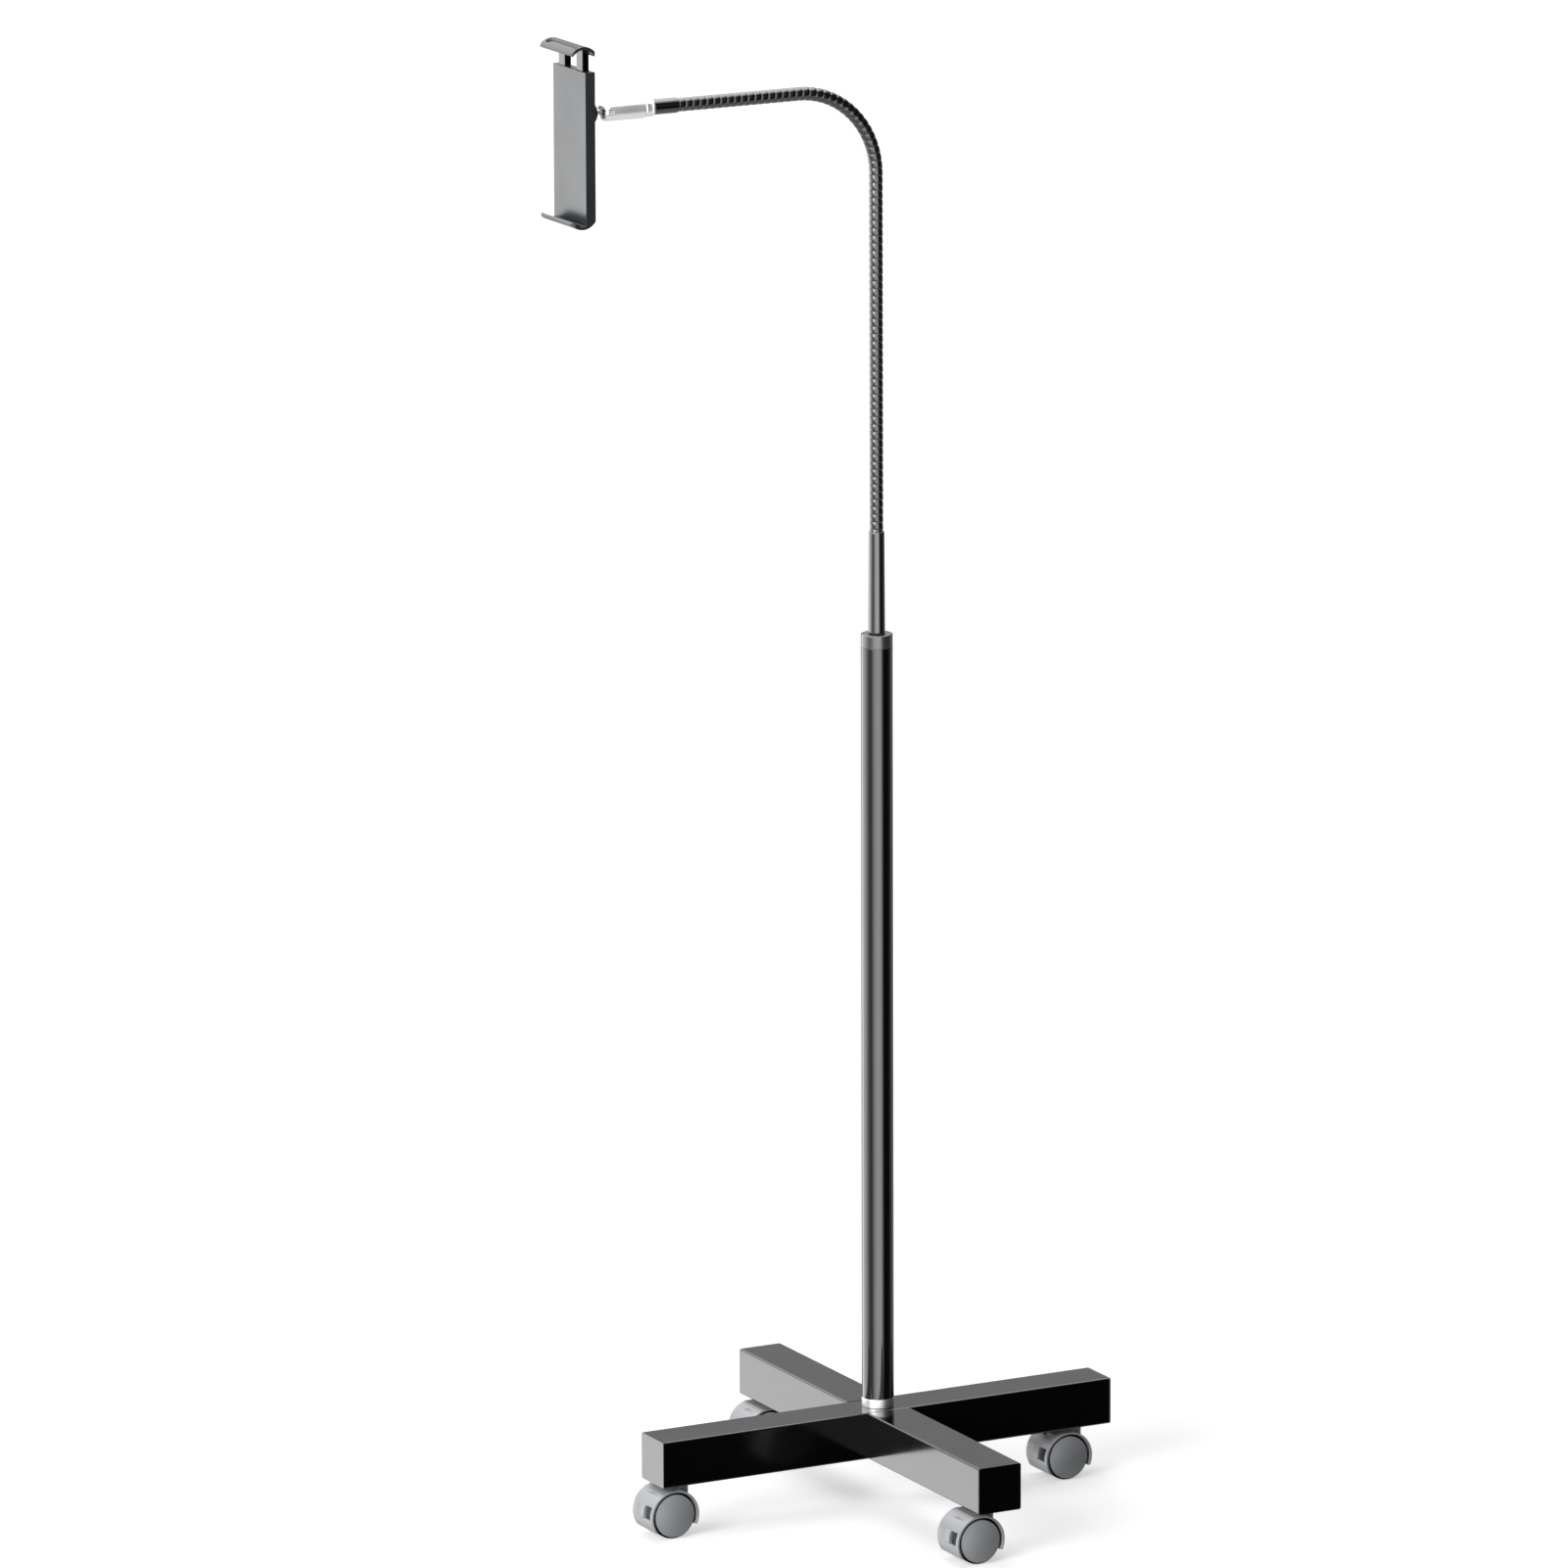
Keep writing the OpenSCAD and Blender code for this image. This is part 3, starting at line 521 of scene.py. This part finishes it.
def caster_hood(name, x, y):
    """The moulded hood: an open drum with a web, a stem boss, a slot and a small hole."""
    upright, axle = at(x, y, WHEEL_R * MM), at(x, y, WHEEL_R * MM, (90, "X"))
    flat = angle_at(HOOD_TOP, HOOD_R)
    outer = (
        arc(0, 0, HOOD_R, angle_at(HOOD_REAR, HOOD_R), flat, 60)
        + arc(0, 0, HOOD_R, 180 - flat, 180 - angle_at(HOOD_FRONT, HOOD_R), 110)
    )
    front, rear = 180 - angle_at(HOOD_FRONT, HOOD_BORE), angle_at(HOOD_REAR, HOOD_BORE)
    inner = arc(0, 0, HOOD_BORE, front, rear, 48)
    hood = slab(name, outer + inner, -HOOD_HALF, HOOD_HALF, axle, HOOD_GREY, 0.55)
    low, high = WEB_ANGLES
    web = arc(0, 0, WEB_R, low, high, 22) + arc(0, 0, WEB_R, 180 - high, 180 - low, 22)
    low, high = PAD_ANGLES
    pad = arc(0, 0, PAD_R, low, high, 10) + arc(0, 0, WEB_R, high, low, 10)
    carve(
        hood,
        slab("web", web, -WEB_HALF, WEB_HALF, axle, HOOD_GREY),
        slab("boss", circle(TRAIL, 0, BOSS_R, 40), BOSS_LOW, HOOD_TOP, upright, HOOD_GREY, 0.5),
        slab("pad", pad, -PAD_HALF, PAD_HALF, axle, HOOD_GREY, 0.3),
        how="UNION",
    )
    vent_place = at(x, y, WHEEL_R * MM, (VENT_TURN, "Y"))
    carve(
        hood,
        slab("stem", circle(TRAIL, 0, STEM_BORE, 40), BOSS_LOW + 2, 40, upright, HOOD_GREY),
        slab("pin", circle(0, 0, AXLE_BORE, 32), -WEB_HALF - 2, WEB_HALF + 2, axle, HOOD_GREY),
        block("slot", *SLOT, upright, HOOD_GREY, 0.3),
        slab("vent", circle(0, 0, VENT_R, 20), HOOD_R - 10, HOOD_R + 3, vent_place, HOOD_GREY),
    )
    return hood


def make_caster(number, x, y):
    """A caster's hood and its two domed wheels. The middle of its axle is at x and y, in metres."""
    hood = caster_hood(f"caster_{number}_hood_shell", x, y)
    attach(hood, f"caster_{number}")
    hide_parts(f"caster_hood_{number}")
    dress(f"caster_axle_{number}", ZINC)
    crown = [(r, CROWN_OUT - CROWN_DROP * (r / CROWN_R) ** 2) for r in CROWN_RINGS]
    for side, way in (("a", 1), ("b", -1)):
        place = at(x, y, WHEEL_R * MM, (way * 90, "X"))
        wheel = f"wheel_{number}{side}"
        # The tread's near-black colour is painted shade for the dark gap between the disc and the
        # hood.
        tread = turned(wheel + "_tread", TREAD, place, TREAD_PAINTED_SHADE, 80, 0.3)
        disc = turned(wheel + "_disc", [*DISC_RIM, *crown], place, WHEEL_GREY, 80, 0.5, 50)
        for piece in (tread, disc):
            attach(piece, f"wheel_{number}{side}")
            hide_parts(f"caster_wheel_{number}{side}")


# Neck: sizes in millimetres. The bend has 18 ribs, one for every 5 degrees

BEND_R = 76.0
RIB_TURN = 5
PITCH = 2 * BEND_R * math.tan(math.radians(1.5 * RIB_TURN)) / 3
UPRIGHT_RIBS, BEND_RIBS = 47.5, 18
UPRIGHT, BEND_LEN = UPRIGHT_RIBS * PITCH, BEND_R * QUARTER
# The ribs' crests, the grooves' depth and how narrow the grooves are
HOSE_R, GROOVE, RIB_SHARP = 6.05, 0.55, 3.2
# How far the hose's ends reach into the ferrules
HOSE_IN = 6
# Ribs from the lower ferrule to each knuckle
HINGE_RIBS = (7, 19, 31, 43, 49, 52, 55, 58, 61, 64, 70, 77)
# Half sections of the ferrules as (radius, distance along them)
LOWER_FERRULE = (
    (0, -26), (5, -26), (5, 0), (7.0, 0), (7.6, 1.2),
    (7.1, 90.2), (6.6, 91), (5.6, 91), (5.6, 70), (0, 70),
)
UPPER_FERRULE = (
    (0, 4), (5.7, 4), (5.7, 0), (6.15, 0), (6.75, 0.8),
    (6.75, 23.6), (6.3, 24), (4, 24), (4, 44), (0, 44),
)


def hose_length():
    """Length of the hose between its two ferrules, along its middle."""
    return UPRIGHT + BEND_LEN + (COLUMN_X - HOSE_END) / MM - BEND_R


def hose_at(s):
    """Centre of the hose and its two cross directions, s millimetres from the ferrule."""
    if s <= UPRIGHT:
        centre, turn = Vector((COLUMN_X, 0, HOSE_LOW + s * MM)), 0.0
    elif s <= UPRIGHT + BEND_LEN:
        turn = (s - UPRIGHT) / BEND_R
        centre = Vector((
            COLUMN_X - BEND_R * MM * (1 - math.cos(turn)), 0,
            HOSE_LOW + (UPRIGHT + BEND_R * math.sin(turn)) * MM,
        ))
    else:
        turn = QUARTER
        past = s - UPRIGHT - BEND_LEN
        centre = Vector((COLUMN_X - (BEND_R + past) * MM, 0, HOSE_LOW + (UPRIGHT + BEND_R) * MM))
    return centre, Vector((math.cos(turn), 0, math.sin(turn))), Vector((0, 1, 0))


def hinge_at(ribs):
    """Where a knuckle lies along the hose, in millimetres."""
    if ribs < UPRIGHT_RIBS:
        return ribs * PITCH
    if ribs < UPRIGHT_RIBS + BEND_RIBS:
        return UPRIGHT + BEND_R * math.radians((ribs - UPRIGHT_RIBS) * RIB_TURN)
    return UPRIGHT + BEND_LEN + (ribs - UPRIGHT_RIBS - BEND_RIBS) * PITCH


def hose_stretch(name, start, end):
    """A closed stretch of hose with one unbroken spiral of rounded turns."""
    around, per_rib = 36, 12
    rings = max(6, round((end - start) / PITCH * per_rib))
    points, faces = [], []
    for i in range(rings + 1):
        s = start + (end - start) * i / rings
        centre, across, side = hose_at(s)
        for j in range(around):
            a = FULL_TURN * j / around
            along = (s / PITCH + j / around) % 1.0
            r = (HOSE_R - GROOVE * abs(2 * along - 1) ** RIB_SHARP) * MM
            points.append(centre + across * (r * math.cos(a)) + side * (r * math.sin(a)))
    for i in range(rings):
        for j in range(around):
            k = (j + 1) % around
            near, far = i * around, (i + 1) * around
            faces.append((near + j, near + k, far + k, far + j))
    faces.append(tuple(range(around)))
    faces.append(tuple(rings * around + j for j in range(around)))
    stretch = piece_from(name, points, faces, HOSE_BLACK, 50)
    stretch.modifiers.clear()
    return stretch


def make_neck():
    """Both ferrules, and the hose in stretches that each reach from one link to the next."""
    foot = at(COLUMN_X, 0, COLUMN_TOP)
    ferrule = turned("lower_ferrule_turned", LOWER_FERRULE, foot, FERRULE_DARK, 96, 0.35)
    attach(ferrule, "neck_01")
    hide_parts("lower_ferrule")
    hinges = [hinge_at(r) for r in HINGE_RIBS]
    ends = [hinges[0] / 2] + [(a + b) / 2 for a, b in zip(hinges, hinges[1:])]
    ends.append((hinges[-1] + hose_length()) / 2)
    first = hose_stretch("hose_stretch_00", -HOSE_IN, ends[0])
    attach(first, "neck_01")
    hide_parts("hose_link_01")
    last = hose_stretch("hose_stretch_13", ends[-1], hose_length() + HOSE_IN)
    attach(last, "neck_13")
    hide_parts("hose_link_13")
    for i in range(12):
        stretch = hose_stretch(f"hose_stretch_{i + 1:02d}", ends[i], ends[i + 1])
        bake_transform(stretch)
        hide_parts(f"hose_link_{i + 1:02d}")
    hose_end = along_head(HOSE_END)
    upper = turned("upper_ferrule_turned", UPPER_FERRULE, hose_end, ENAMEL_BLACK, 96, 0.3)
    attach(upper, "neck_13")
    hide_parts("upper_ferrule")


# Ball joint: sizes in millimetres, profiles as (radius, distance toward the holder)

RING = (
    (4.05, 0.06), (7.5, 0.06), (8.25, 0.7), (8.25, 2.4), (7.95, 2.8),
    (7.95, 6.2), (8.25, 6.6), (8.25, 8.3), (7.6, 8.94), (4.05, 8.94),
)
HOUSING_R, HOUSING_LEN, HOUSING_EDGE, STUD_BORE = 8.75, 34.4, 0.8, 4.05
BALL_R, SEAT_R, STEM_R, STEM_END, STEM_EDGE = 6.3, 6.38, 2.5, 32.6, 0.4
# The notch in the housing's side, which the stem tilts into
NOTCH_R, NOTCH_LONG = 2.9, 20


def make_head():
    """The lock ring, the ball's housing with its side notch, and the ball on its stem."""
    ring = turned("lock_ring_turned", RING, along_head(RING_BACK), CHROME, 96, 0.25)
    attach(ring, "lock_ring")
    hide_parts("lock_ring")
    place = along_head(BALL_X)
    shell = [
        (STUD_BORE, -HOUSING_LEN), (HOUSING_R - HOUSING_EDGE, -HOUSING_LEN),
        (HOUSING_R, HOUSING_EDGE - HOUSING_LEN), (HOUSING_R, -0.01),
    ]
    nose = arc(0, 0, HOUSING_R, 0, 49, 16) + [(4.9, 4.4), (4.6, 4.4)]
    seat = arc(0, 0, SEAT_R, 43, -60, 20) + [(2.4, -8), (2.4, -22), (STUD_BORE, -22.4)]
    housing = turned("socket_housing_plated", shell + nose + seat, place, CHROME, 96, 0.2, 28)
    sideways = place @ Matrix.Rotation(QUARTER, 4, "X")
    notch_end = slab("notch_end", circle(0, 0, NOTCH_R, 40), 0, NOTCH_LONG, sideways, CHROME)
    notch = block("notch", (-NOTCH_R, -NOTCH_LONG, 0), (NOTCH_R, 0, NOTCH_LONG), place, CHROME)
    carve(notch, notch_end, how="UNION")
    carve(housing, notch, sharp=28)
    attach(housing, "socket")
    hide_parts("socket_housing")
    stem = [
        (STEM_R, 6.4), (STEM_R, STEM_END - STEM_EDGE), (STEM_R - STEM_EDGE, STEM_END), (0, STEM_END)
    ]
    ball = arc(0, 0, BALL_R, -90, 66, 30)
    stud = turned("ball_stud_turned", ball + stem, place, ZINC, 72, 0.15)
    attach(stud, "stud")
    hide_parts("ball_stud")
    for node in ("stud_nut", "stud_washer"):
        dress(node, ZINC)


# Holder: sizes in millimetres from its face and the ball's height

HALF_W = 30.5
HOLDER_TOP, HOLDER_LOW, CAVITY_LOW = 40.5, -94, -86.0
WALL_T, SKIN_T, COVER_T, COVER_FIT = 1.6, 1.2, 1.6, 0.15
COVER_IN = COVER_T - FACE_T
# Middle of each jaw's curl, and its angles at the back, the tip and the back of its inside
LOW_CURL, LOW_ANGLES = (3.0, -80.8), (224, 322, 224)
HIGH_CURL, HIGH_ANGLES = (1.5, 48.5), (137.6, 33, 154)
JAW_R, JAW_T, JAW_REACH, JAW_CORNER = 14.5, 2.6, 14.3, 4.5
POST_Y, POST_HALF, POST_FIT = 16.75, 5.75, 0.1
POST_LOW, POST_TOP = -52, 59.6
RIB_HALF = 0.6
SCREW_Y, SCREW_HEIGHTS, SCREW_HEAD_R = 26.3, (34.0, -80.0), 2.35
BOSS = (2.55, -1), (8.75, -1), (8.75, 13), (7.75, 14), (2.55, 14)
RECESS_X, RECESS_HALF, RECESS_R, RECESS_DEEP = 7, 24.5, 2.6, 1.6
GRIP_T, GRIP_HALF = 0.9, 24


def holder_side():
    """Side views are drawn with x toward the user and y up, then thickened across."""
    return holder_plan() @ Matrix.Rotation(QUARTER, 4, "X")


def holder_plan():
    """Plans are drawn with x toward the user, from the holder's face."""
    return at(HOLDER_FACE, 0, HEAD_Z) @ Matrix.Diagonal((-1, 1, 1, 1))


def jaw_outline():
    """A jaw from above, with its two front corners rounded."""
    x, y = JAW_REACH - JAW_CORNER, HALF_W - JAW_CORNER
    front = arc(x, -y, JAW_CORNER, -90, 0, 12) + arc(x, y, JAW_CORNER, 0, 90, 12)
    return [(-FACE_T, HALF_W), (-FACE_T, -HALF_W)] + front


def curl_outline(cx, cz, back, tip, inner_back):
    """A curled jaw's section: an arc outside, a square tip and an arc inside, angles in degrees."""
    outside = arc(cx, cz, JAW_R, back, tip, 30)
    return eased(outside + arc(cx, cz, JAW_R - JAW_T, tip, inner_back, 30), 0.5)


def make_front_shell():
    """The holder's hollow front with the posts' two gates, their guides and the lower jaw."""
    side, plan = holder_side(), holder_plan()
    foot = arc(*LOW_CURL, JAW_R, 212.7, 262, 10)
    body = eased([(0, HOLDER_TOP), (-FACE_T, HOLDER_TOP)] + foot + [(0, HOLDER_LOW)], 0.4)
    shell = slab("front_shell_moulded", body, -HALF_W, HALF_W, side, ABS_GREY, 0.8)
    curl = curl_outline(*LOW_CURL, *LOW_ANGLES)
    lip = slab("lip", curl, -HALF_W, HALF_W, side, ABS_GREY, 0.6)
    carve(lip, slab("crop", jaw_outline(), -100, -70, plan, ABS_GREY), how="INTERSECT")
    carve(shell, lip, how="UNION")
    inside = HALF_W - WALL_T
    low_corner = -FACE_T - 2.8, -inside, CAVITY_LOW
    high_corner = -SKIN_T, inside, HOLDER_TOP - WALL_T
    carve(shell, block("cavity", low_corner, high_corner, plan, ABS_GREY))
    half = POST_HALF + POST_FIT
    for s in (-1, 1):
        low_corner = COVER_IN, s * POST_Y - half, HOLDER_TOP - 10.5
        high_corner = -SKIN_T, s * POST_Y + half, HOLDER_TOP + 4.5
        carve(shell, block("gate", low_corner, high_corner, plan, ABS_GREY))
        for way in (-s, s):
            y = s * POST_Y + way * (half + RIB_HALF)
            low_corner = COVER_IN, y - RIB_HALF, CAVITY_LOW - 1
            high_corner = -RIB_HALF, y + RIB_HALF, HOLDER_TOP - 1
            carve(shell, block("rib", low_corner, high_corner, plan, ABS_GREY), how="UNION")
    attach(shell, "holder")
    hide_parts("front_shell")


def make_rear_cover():
    """The flush back cover with its screw holes and the stem's boss."""
    half = HALF_W - WALL_T - COVER_FIT
    low_corner = -FACE_T, -half, CAVITY_LOW + COVER_FIT
    high_corner = COVER_IN, half, HOLDER_TOP - WALL_T - COVER_FIT
    cover = block("rear_cover_moulded", low_corner, high_corner, holder_plan(), ABS_BLACK, 0.3)
    back = HOLDER_FACE + FACE_T * MM
    boss = turned("boss", BOSS, at(back, 0, HEAD_Z, (90, "Y")), ABS_BLACK, 72, 0.3)
    carve(cover, boss, how="UNION")
    for s in (-1, 1):
        for z in SCREW_HEIGHTS:
            place = at(back, s * SCREW_Y * MM, HEAD_Z + z * MM, (90, "Y"))
            head = slab("head", circle(0, 0, SCREW_HEAD_R, 28), -1, 3, place, ABS_BLACK)
            carve(cover, head)
    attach(cover, "holder")
    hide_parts("rear_cover")
    dress("cover_screws", ZINC)
    dress("jaw_springs", ZINC)


def make_upper_jaw():
    """The curled sliding jaw with the shallow recess on its top, and its two flat posts."""
    side, plan = holder_side(), holder_plan()
    curl = curl_outline(*HIGH_CURL, *HIGH_ANGLES)
    jaw = slab("upper_jaw_moulded", curl, -HALF_W, HALF_W, side, ABS_GREY, 0.6)
    carve(jaw, slab("crop", jaw_outline(), 40, 70, plan, ABS_GREY), how="INTERSECT")
    for number, s in enumerate((-1, 1), 1):
        low_corner = COVER_IN + POST_FIT, s * POST_Y - POST_HALF, POST_LOW
        high_corner = -SKIN_T - POST_FIT, s * POST_Y + POST_HALF, POST_TOP
        post = block(f"jaw_post_{number}", low_corner, high_corner, plan, POWDER_BLACK, 0.4)
        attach(post, "jaw")
        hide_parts("upper_jaw")
    near = arc(RECESS_X, -RECESS_HALF, RECESS_R, 180, 360, 12)
    far = arc(RECESS_X, RECESS_HALF, RECESS_R, 0, 180, 12)
    recess = slab("recess", near + far, 55, 70, plan, ABS_GREY)
    under = circle(*HIGH_CURL, JAW_R - RECESS_DEEP, 72)
    carve(recess, slab("core", under, 1.5 - HALF_W, HALF_W - 1.5, side, ABS_GREY))
    carve(jaw, recess)
    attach(jaw, "jaw")
    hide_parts("upper_jaw")


def make_grips():
    """The soft strips inside both jaws."""
    r = JAW_R - JAW_T
    for name, body, (cx, cz), first, last in (
        ("lower_grip", "holder", LOW_CURL, 269, 311),
        ("upper_grip", "jaw", HIGH_CURL, 84, 38),
    ):
        band = arc(cx, cz, r, first, last, 18) + arc(cx, cz, r - GRIP_T, last, first, 18)
        pad = slab(name + "_pad", band, -GRIP_HALF, GRIP_HALF, holder_side(), SILICONE, 0.25)
        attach(pad, body)
        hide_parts(name)


# Studio

# Strengths of the soft light, the floor's own white near the stand, and the brightest panel
AMBIENT, FLOOR_LIFT, PANEL = 0.14, 0.5, 5.2
# Brightness round the stand, as (degrees from +X toward +Y, share of the brightest panel)
LOW_PANELS = (
    (-180, 0.17), (-167, 0.065), (-159, 0.09), (-151, 0.2), (-143, 0.385), (-135, 0.54),
    (-126, 0.66), (-112, 0.71), (-97, 0.71), (-88, 0.52), (-80, 0.2), (-72, 0.03), (-66, 0.0),
    (-30, 0.007), (-14, 0.04), (0, 0.1), (25, 0.12), (60, 0.16), (85, 0.21), (98, 0.27),
    (108, 0.46), (114, 0.95), (122, 0.95), (128, 0.64), (145, 0.64), (156, 0.58), (166, 0.35),
    (174, 0.24), (180, 0.17),
)
HIGH_PANELS = (
    (-180, 0.2), (-140, 0.6), (-118, 0.7), (-90, 0.5), (-70, 0.03), (-20, 0.0), (30, 0.06),
    (62, 0.12), (85, 0.15), (105, 0.5), (150, 0.5), (180, 0.2),
)
# Sines of the height above the horizon, between which one part fades into the next
PANEL_FADE, GROUND_FADE, CEILING_FADE = (-0.03, 0.03), (-0.36, -0.62), (0.6, 0.9)
GROUND, CEILING = (0.18, 0.18, 0.18, 1), (1, 1, 1, 1)
# How much lower the ceiling reaches at the side that +Y points to
CEILING_LEAN = 0.35
# Metres from the stand over which the floor fades to white
FLOOR_FADE = 0.9, 3.5
# The floor in millimetres: radius, thickness and its gap below the wheels
FLOOR_R, FLOOR_T, FLOOR_GAP = 24000, 40, 0.1
# Softboxes as (name, place, aim, side in metres, watts, mirrored by polished surfaces)
SOFTBOXES = (
    ("key_softbox", (-3.2, -1.5, 1.6), (0, 0, 0.6), 2.2, 116, True),
    ("top_softbox", (0.3, 0.8, 4.2), (0, 0, 0.5), 2.4, 46, False),
    ("back_softbox", (0.8, 3.4, 1.8), (0, 0, 0.7), 1.8, 22, False),
)


def surround(tree):
    """What polished surfaces see round the stand: brightness by compass direction and height."""
    way = add(tree, "ShaderNodeTexCoord").outputs["Generated"]
    parts = add(tree, "ShaderNodeSeparateXYZ", {0: way}).outputs
    angle = add(tree, "ShaderNodeMath", {0: parts["Y"], 1: parts["X"]}, operation="ARCTAN2")
    turn = add(
        tree, "ShaderNodeMapRange",
        {"Value": angle.outputs[0], "From Min": -math.pi, "From Max": math.pi},
    ).outputs["Result"]
    rings = []
    for stops in (LOW_PANELS, HIGH_PANELS):
        ring = add(tree, "ShaderNodeValToRGB", {"Fac": turn})
        points = ring.color_ramp.elements
        while len(points) < len(stops):
            points.new(0.5)
        for point, (degrees, share) in zip(points, stops):
            point.position = (degrees + 180) / 360
            point.color = (share, share, share, 1)
        rings.append(ring.outputs["Color"])
    leaning = add(
        tree, "ShaderNodeMath", {0: parts["Y"], 1: CEILING_LEAN, 2: parts["Z"]},
        operation="MULTIPLY_ADD",
    ).outputs[0]
    seen = rings[0]
    for height, (start, end), cover in (
        (parts["Z"], PANEL_FADE, rings[1]),
        (parts["Z"], GROUND_FADE, GROUND),
        (leaning, CEILING_FADE, CEILING),
    ):
        share = add(
            tree, "ShaderNodeMapRange", {"Value": height, "From Min": start, "From Max": end}
        ).outputs["Result"]
        seen = add(
            tree, "ShaderNodeMix", {0: share, 6: seen, 7: cover}, data_type="RGBA"
        ).outputs[2]
    return seen


def make_world():
    """White behind the stand, soft light on it, and the panels only in its reflections."""
    world = bpy.data.worlds.new("studio")
    scene.world = world
    world.use_nodes = True
    tree = world.node_tree
    tree.nodes.clear()
    ray = add(tree, "ShaderNodeLightPath").outputs
    open_view = add(
        tree, "ShaderNodeMath", {0: ray["Is Camera Ray"], 1: ray["Is Transmission Ray"]},
        operation="MAXIMUM",
    )
    soft = add(tree, "ShaderNodeBackground", {"Color": tone("#FFFFFF"), "Strength": AMBIENT})
    panels = add(tree, "ShaderNodeBackground", {"Color": surround(tree), "Strength": PANEL})
    white = add(tree, "ShaderNodeBackground", {"Color": tone("#FFFFFF"), "Strength": 1.0})
    mirrored = add(
        tree, "ShaderNodeMixShader",
        {0: ray["Is Glossy Ray"], 1: soft.outputs[0], 2: panels.outputs[0]},
    )
    shown = add(
        tree, "ShaderNodeMixShader",
        {0: open_view.outputs[0], 1: mirrored.outputs[0], 2: white.outputs[0]},
    )
    add(tree, "ShaderNodeOutputWorld", {"Surface": shown.outputs[0]})


def make_floor():
    """Seamless paper: it keeps the stand's shadow, fades to white and isn't mirrored."""
    paint = bpy.data.materials.new("floor_seamless_paper")
    paint.use_nodes = True
    tree = paint.node_tree
    tree.nodes.clear()
    ray = add(tree, "ShaderNodeLightPath").outputs
    bounce = add(tree, "ShaderNodeBsdfDiffuse", {"Color": tone("#A0A0A0")})
    paper = add(tree, "ShaderNodeBsdfDiffuse", {"Color": tone("#F4F4F4")})
    spot = add(tree, "ShaderNodeNewGeometry").outputs["Position"]
    away = add(tree, "ShaderNodeVectorMath", {0: spot}, operation="LENGTH").outputs["Value"]
    near, far = FLOOR_FADE
    fade = add(
        tree, "ShaderNodeMapRange",
        {"Value": away, "From Min": near, "From Max": far, "To Min": FLOOR_LIFT, "To Max": 1.0},
        interpolation_type="SMOOTHSTEP",
    ).outputs["Result"]
    lift = add(tree, "ShaderNodeEmission", {"Color": tone("#FFFFFF"), "Strength": fade})
    lit = add(tree, "ShaderNodeAddShader", {0: paper.outputs[0], 1: lift.outputs[0]})
    seen = add(
        tree, "ShaderNodeMixShader",
        {0: ray["Is Diffuse Ray"], 1: lit.outputs[0], 2: bounce.outputs[0]},
    )
    clear = add(tree, "ShaderNodeBsdfTransparent")
    through = add(
        tree, "ShaderNodeMixShader",
        {0: ray["Is Glossy Ray"], 1: seen.outputs[0], 2: clear.outputs[0]},
    )
    add(tree, "ShaderNodeOutputMaterial", {"Surface": through.outputs[0]})
    disc, place = circle(0, 0, FLOOR_R, 96), Matrix.Identity(4)
    slab("floor", disc, -FLOOR_T, -FLOOR_GAP, place, paint)


def lamp(name, spot, aim, size, power, mirrored):
    """A square softbox. Only a mirrored one shows in polished surfaces."""
    light = bpy.data.lights.new(name, "AREA")
    light.shape, light.size, light.energy = "SQUARE", size, power
    holder = bpy.data.objects.new(name, light)
    holder.visible_glossy = mirrored
    aimed = (Vector(spot) - Vector(aim)).to_track_quat("Z", "Y").to_matrix().to_4x4()
    holder.matrix_world = at(*spot) @ aimed
    scene.collection.objects.link(holder)


make_base()
make_column()
reach = HALF_BASE - STEM_IN
stems = (-reach, 0), (0, -reach), (reach, 0), (0, reach)
for number, (dx, dy) in enumerate(stems, 1):
    make_caster(number, COLUMN_X + (dx - TRAIL) * MM, dy * MM)
make_neck()
make_head()
make_front_shell()
make_rear_cover()
make_upper_jaw()
make_grips()
make_world()
make_floor()
for softbox in SOFTBOXES:
    lamp(*softbox)
scene.view_settings.view_transform = "Standard"
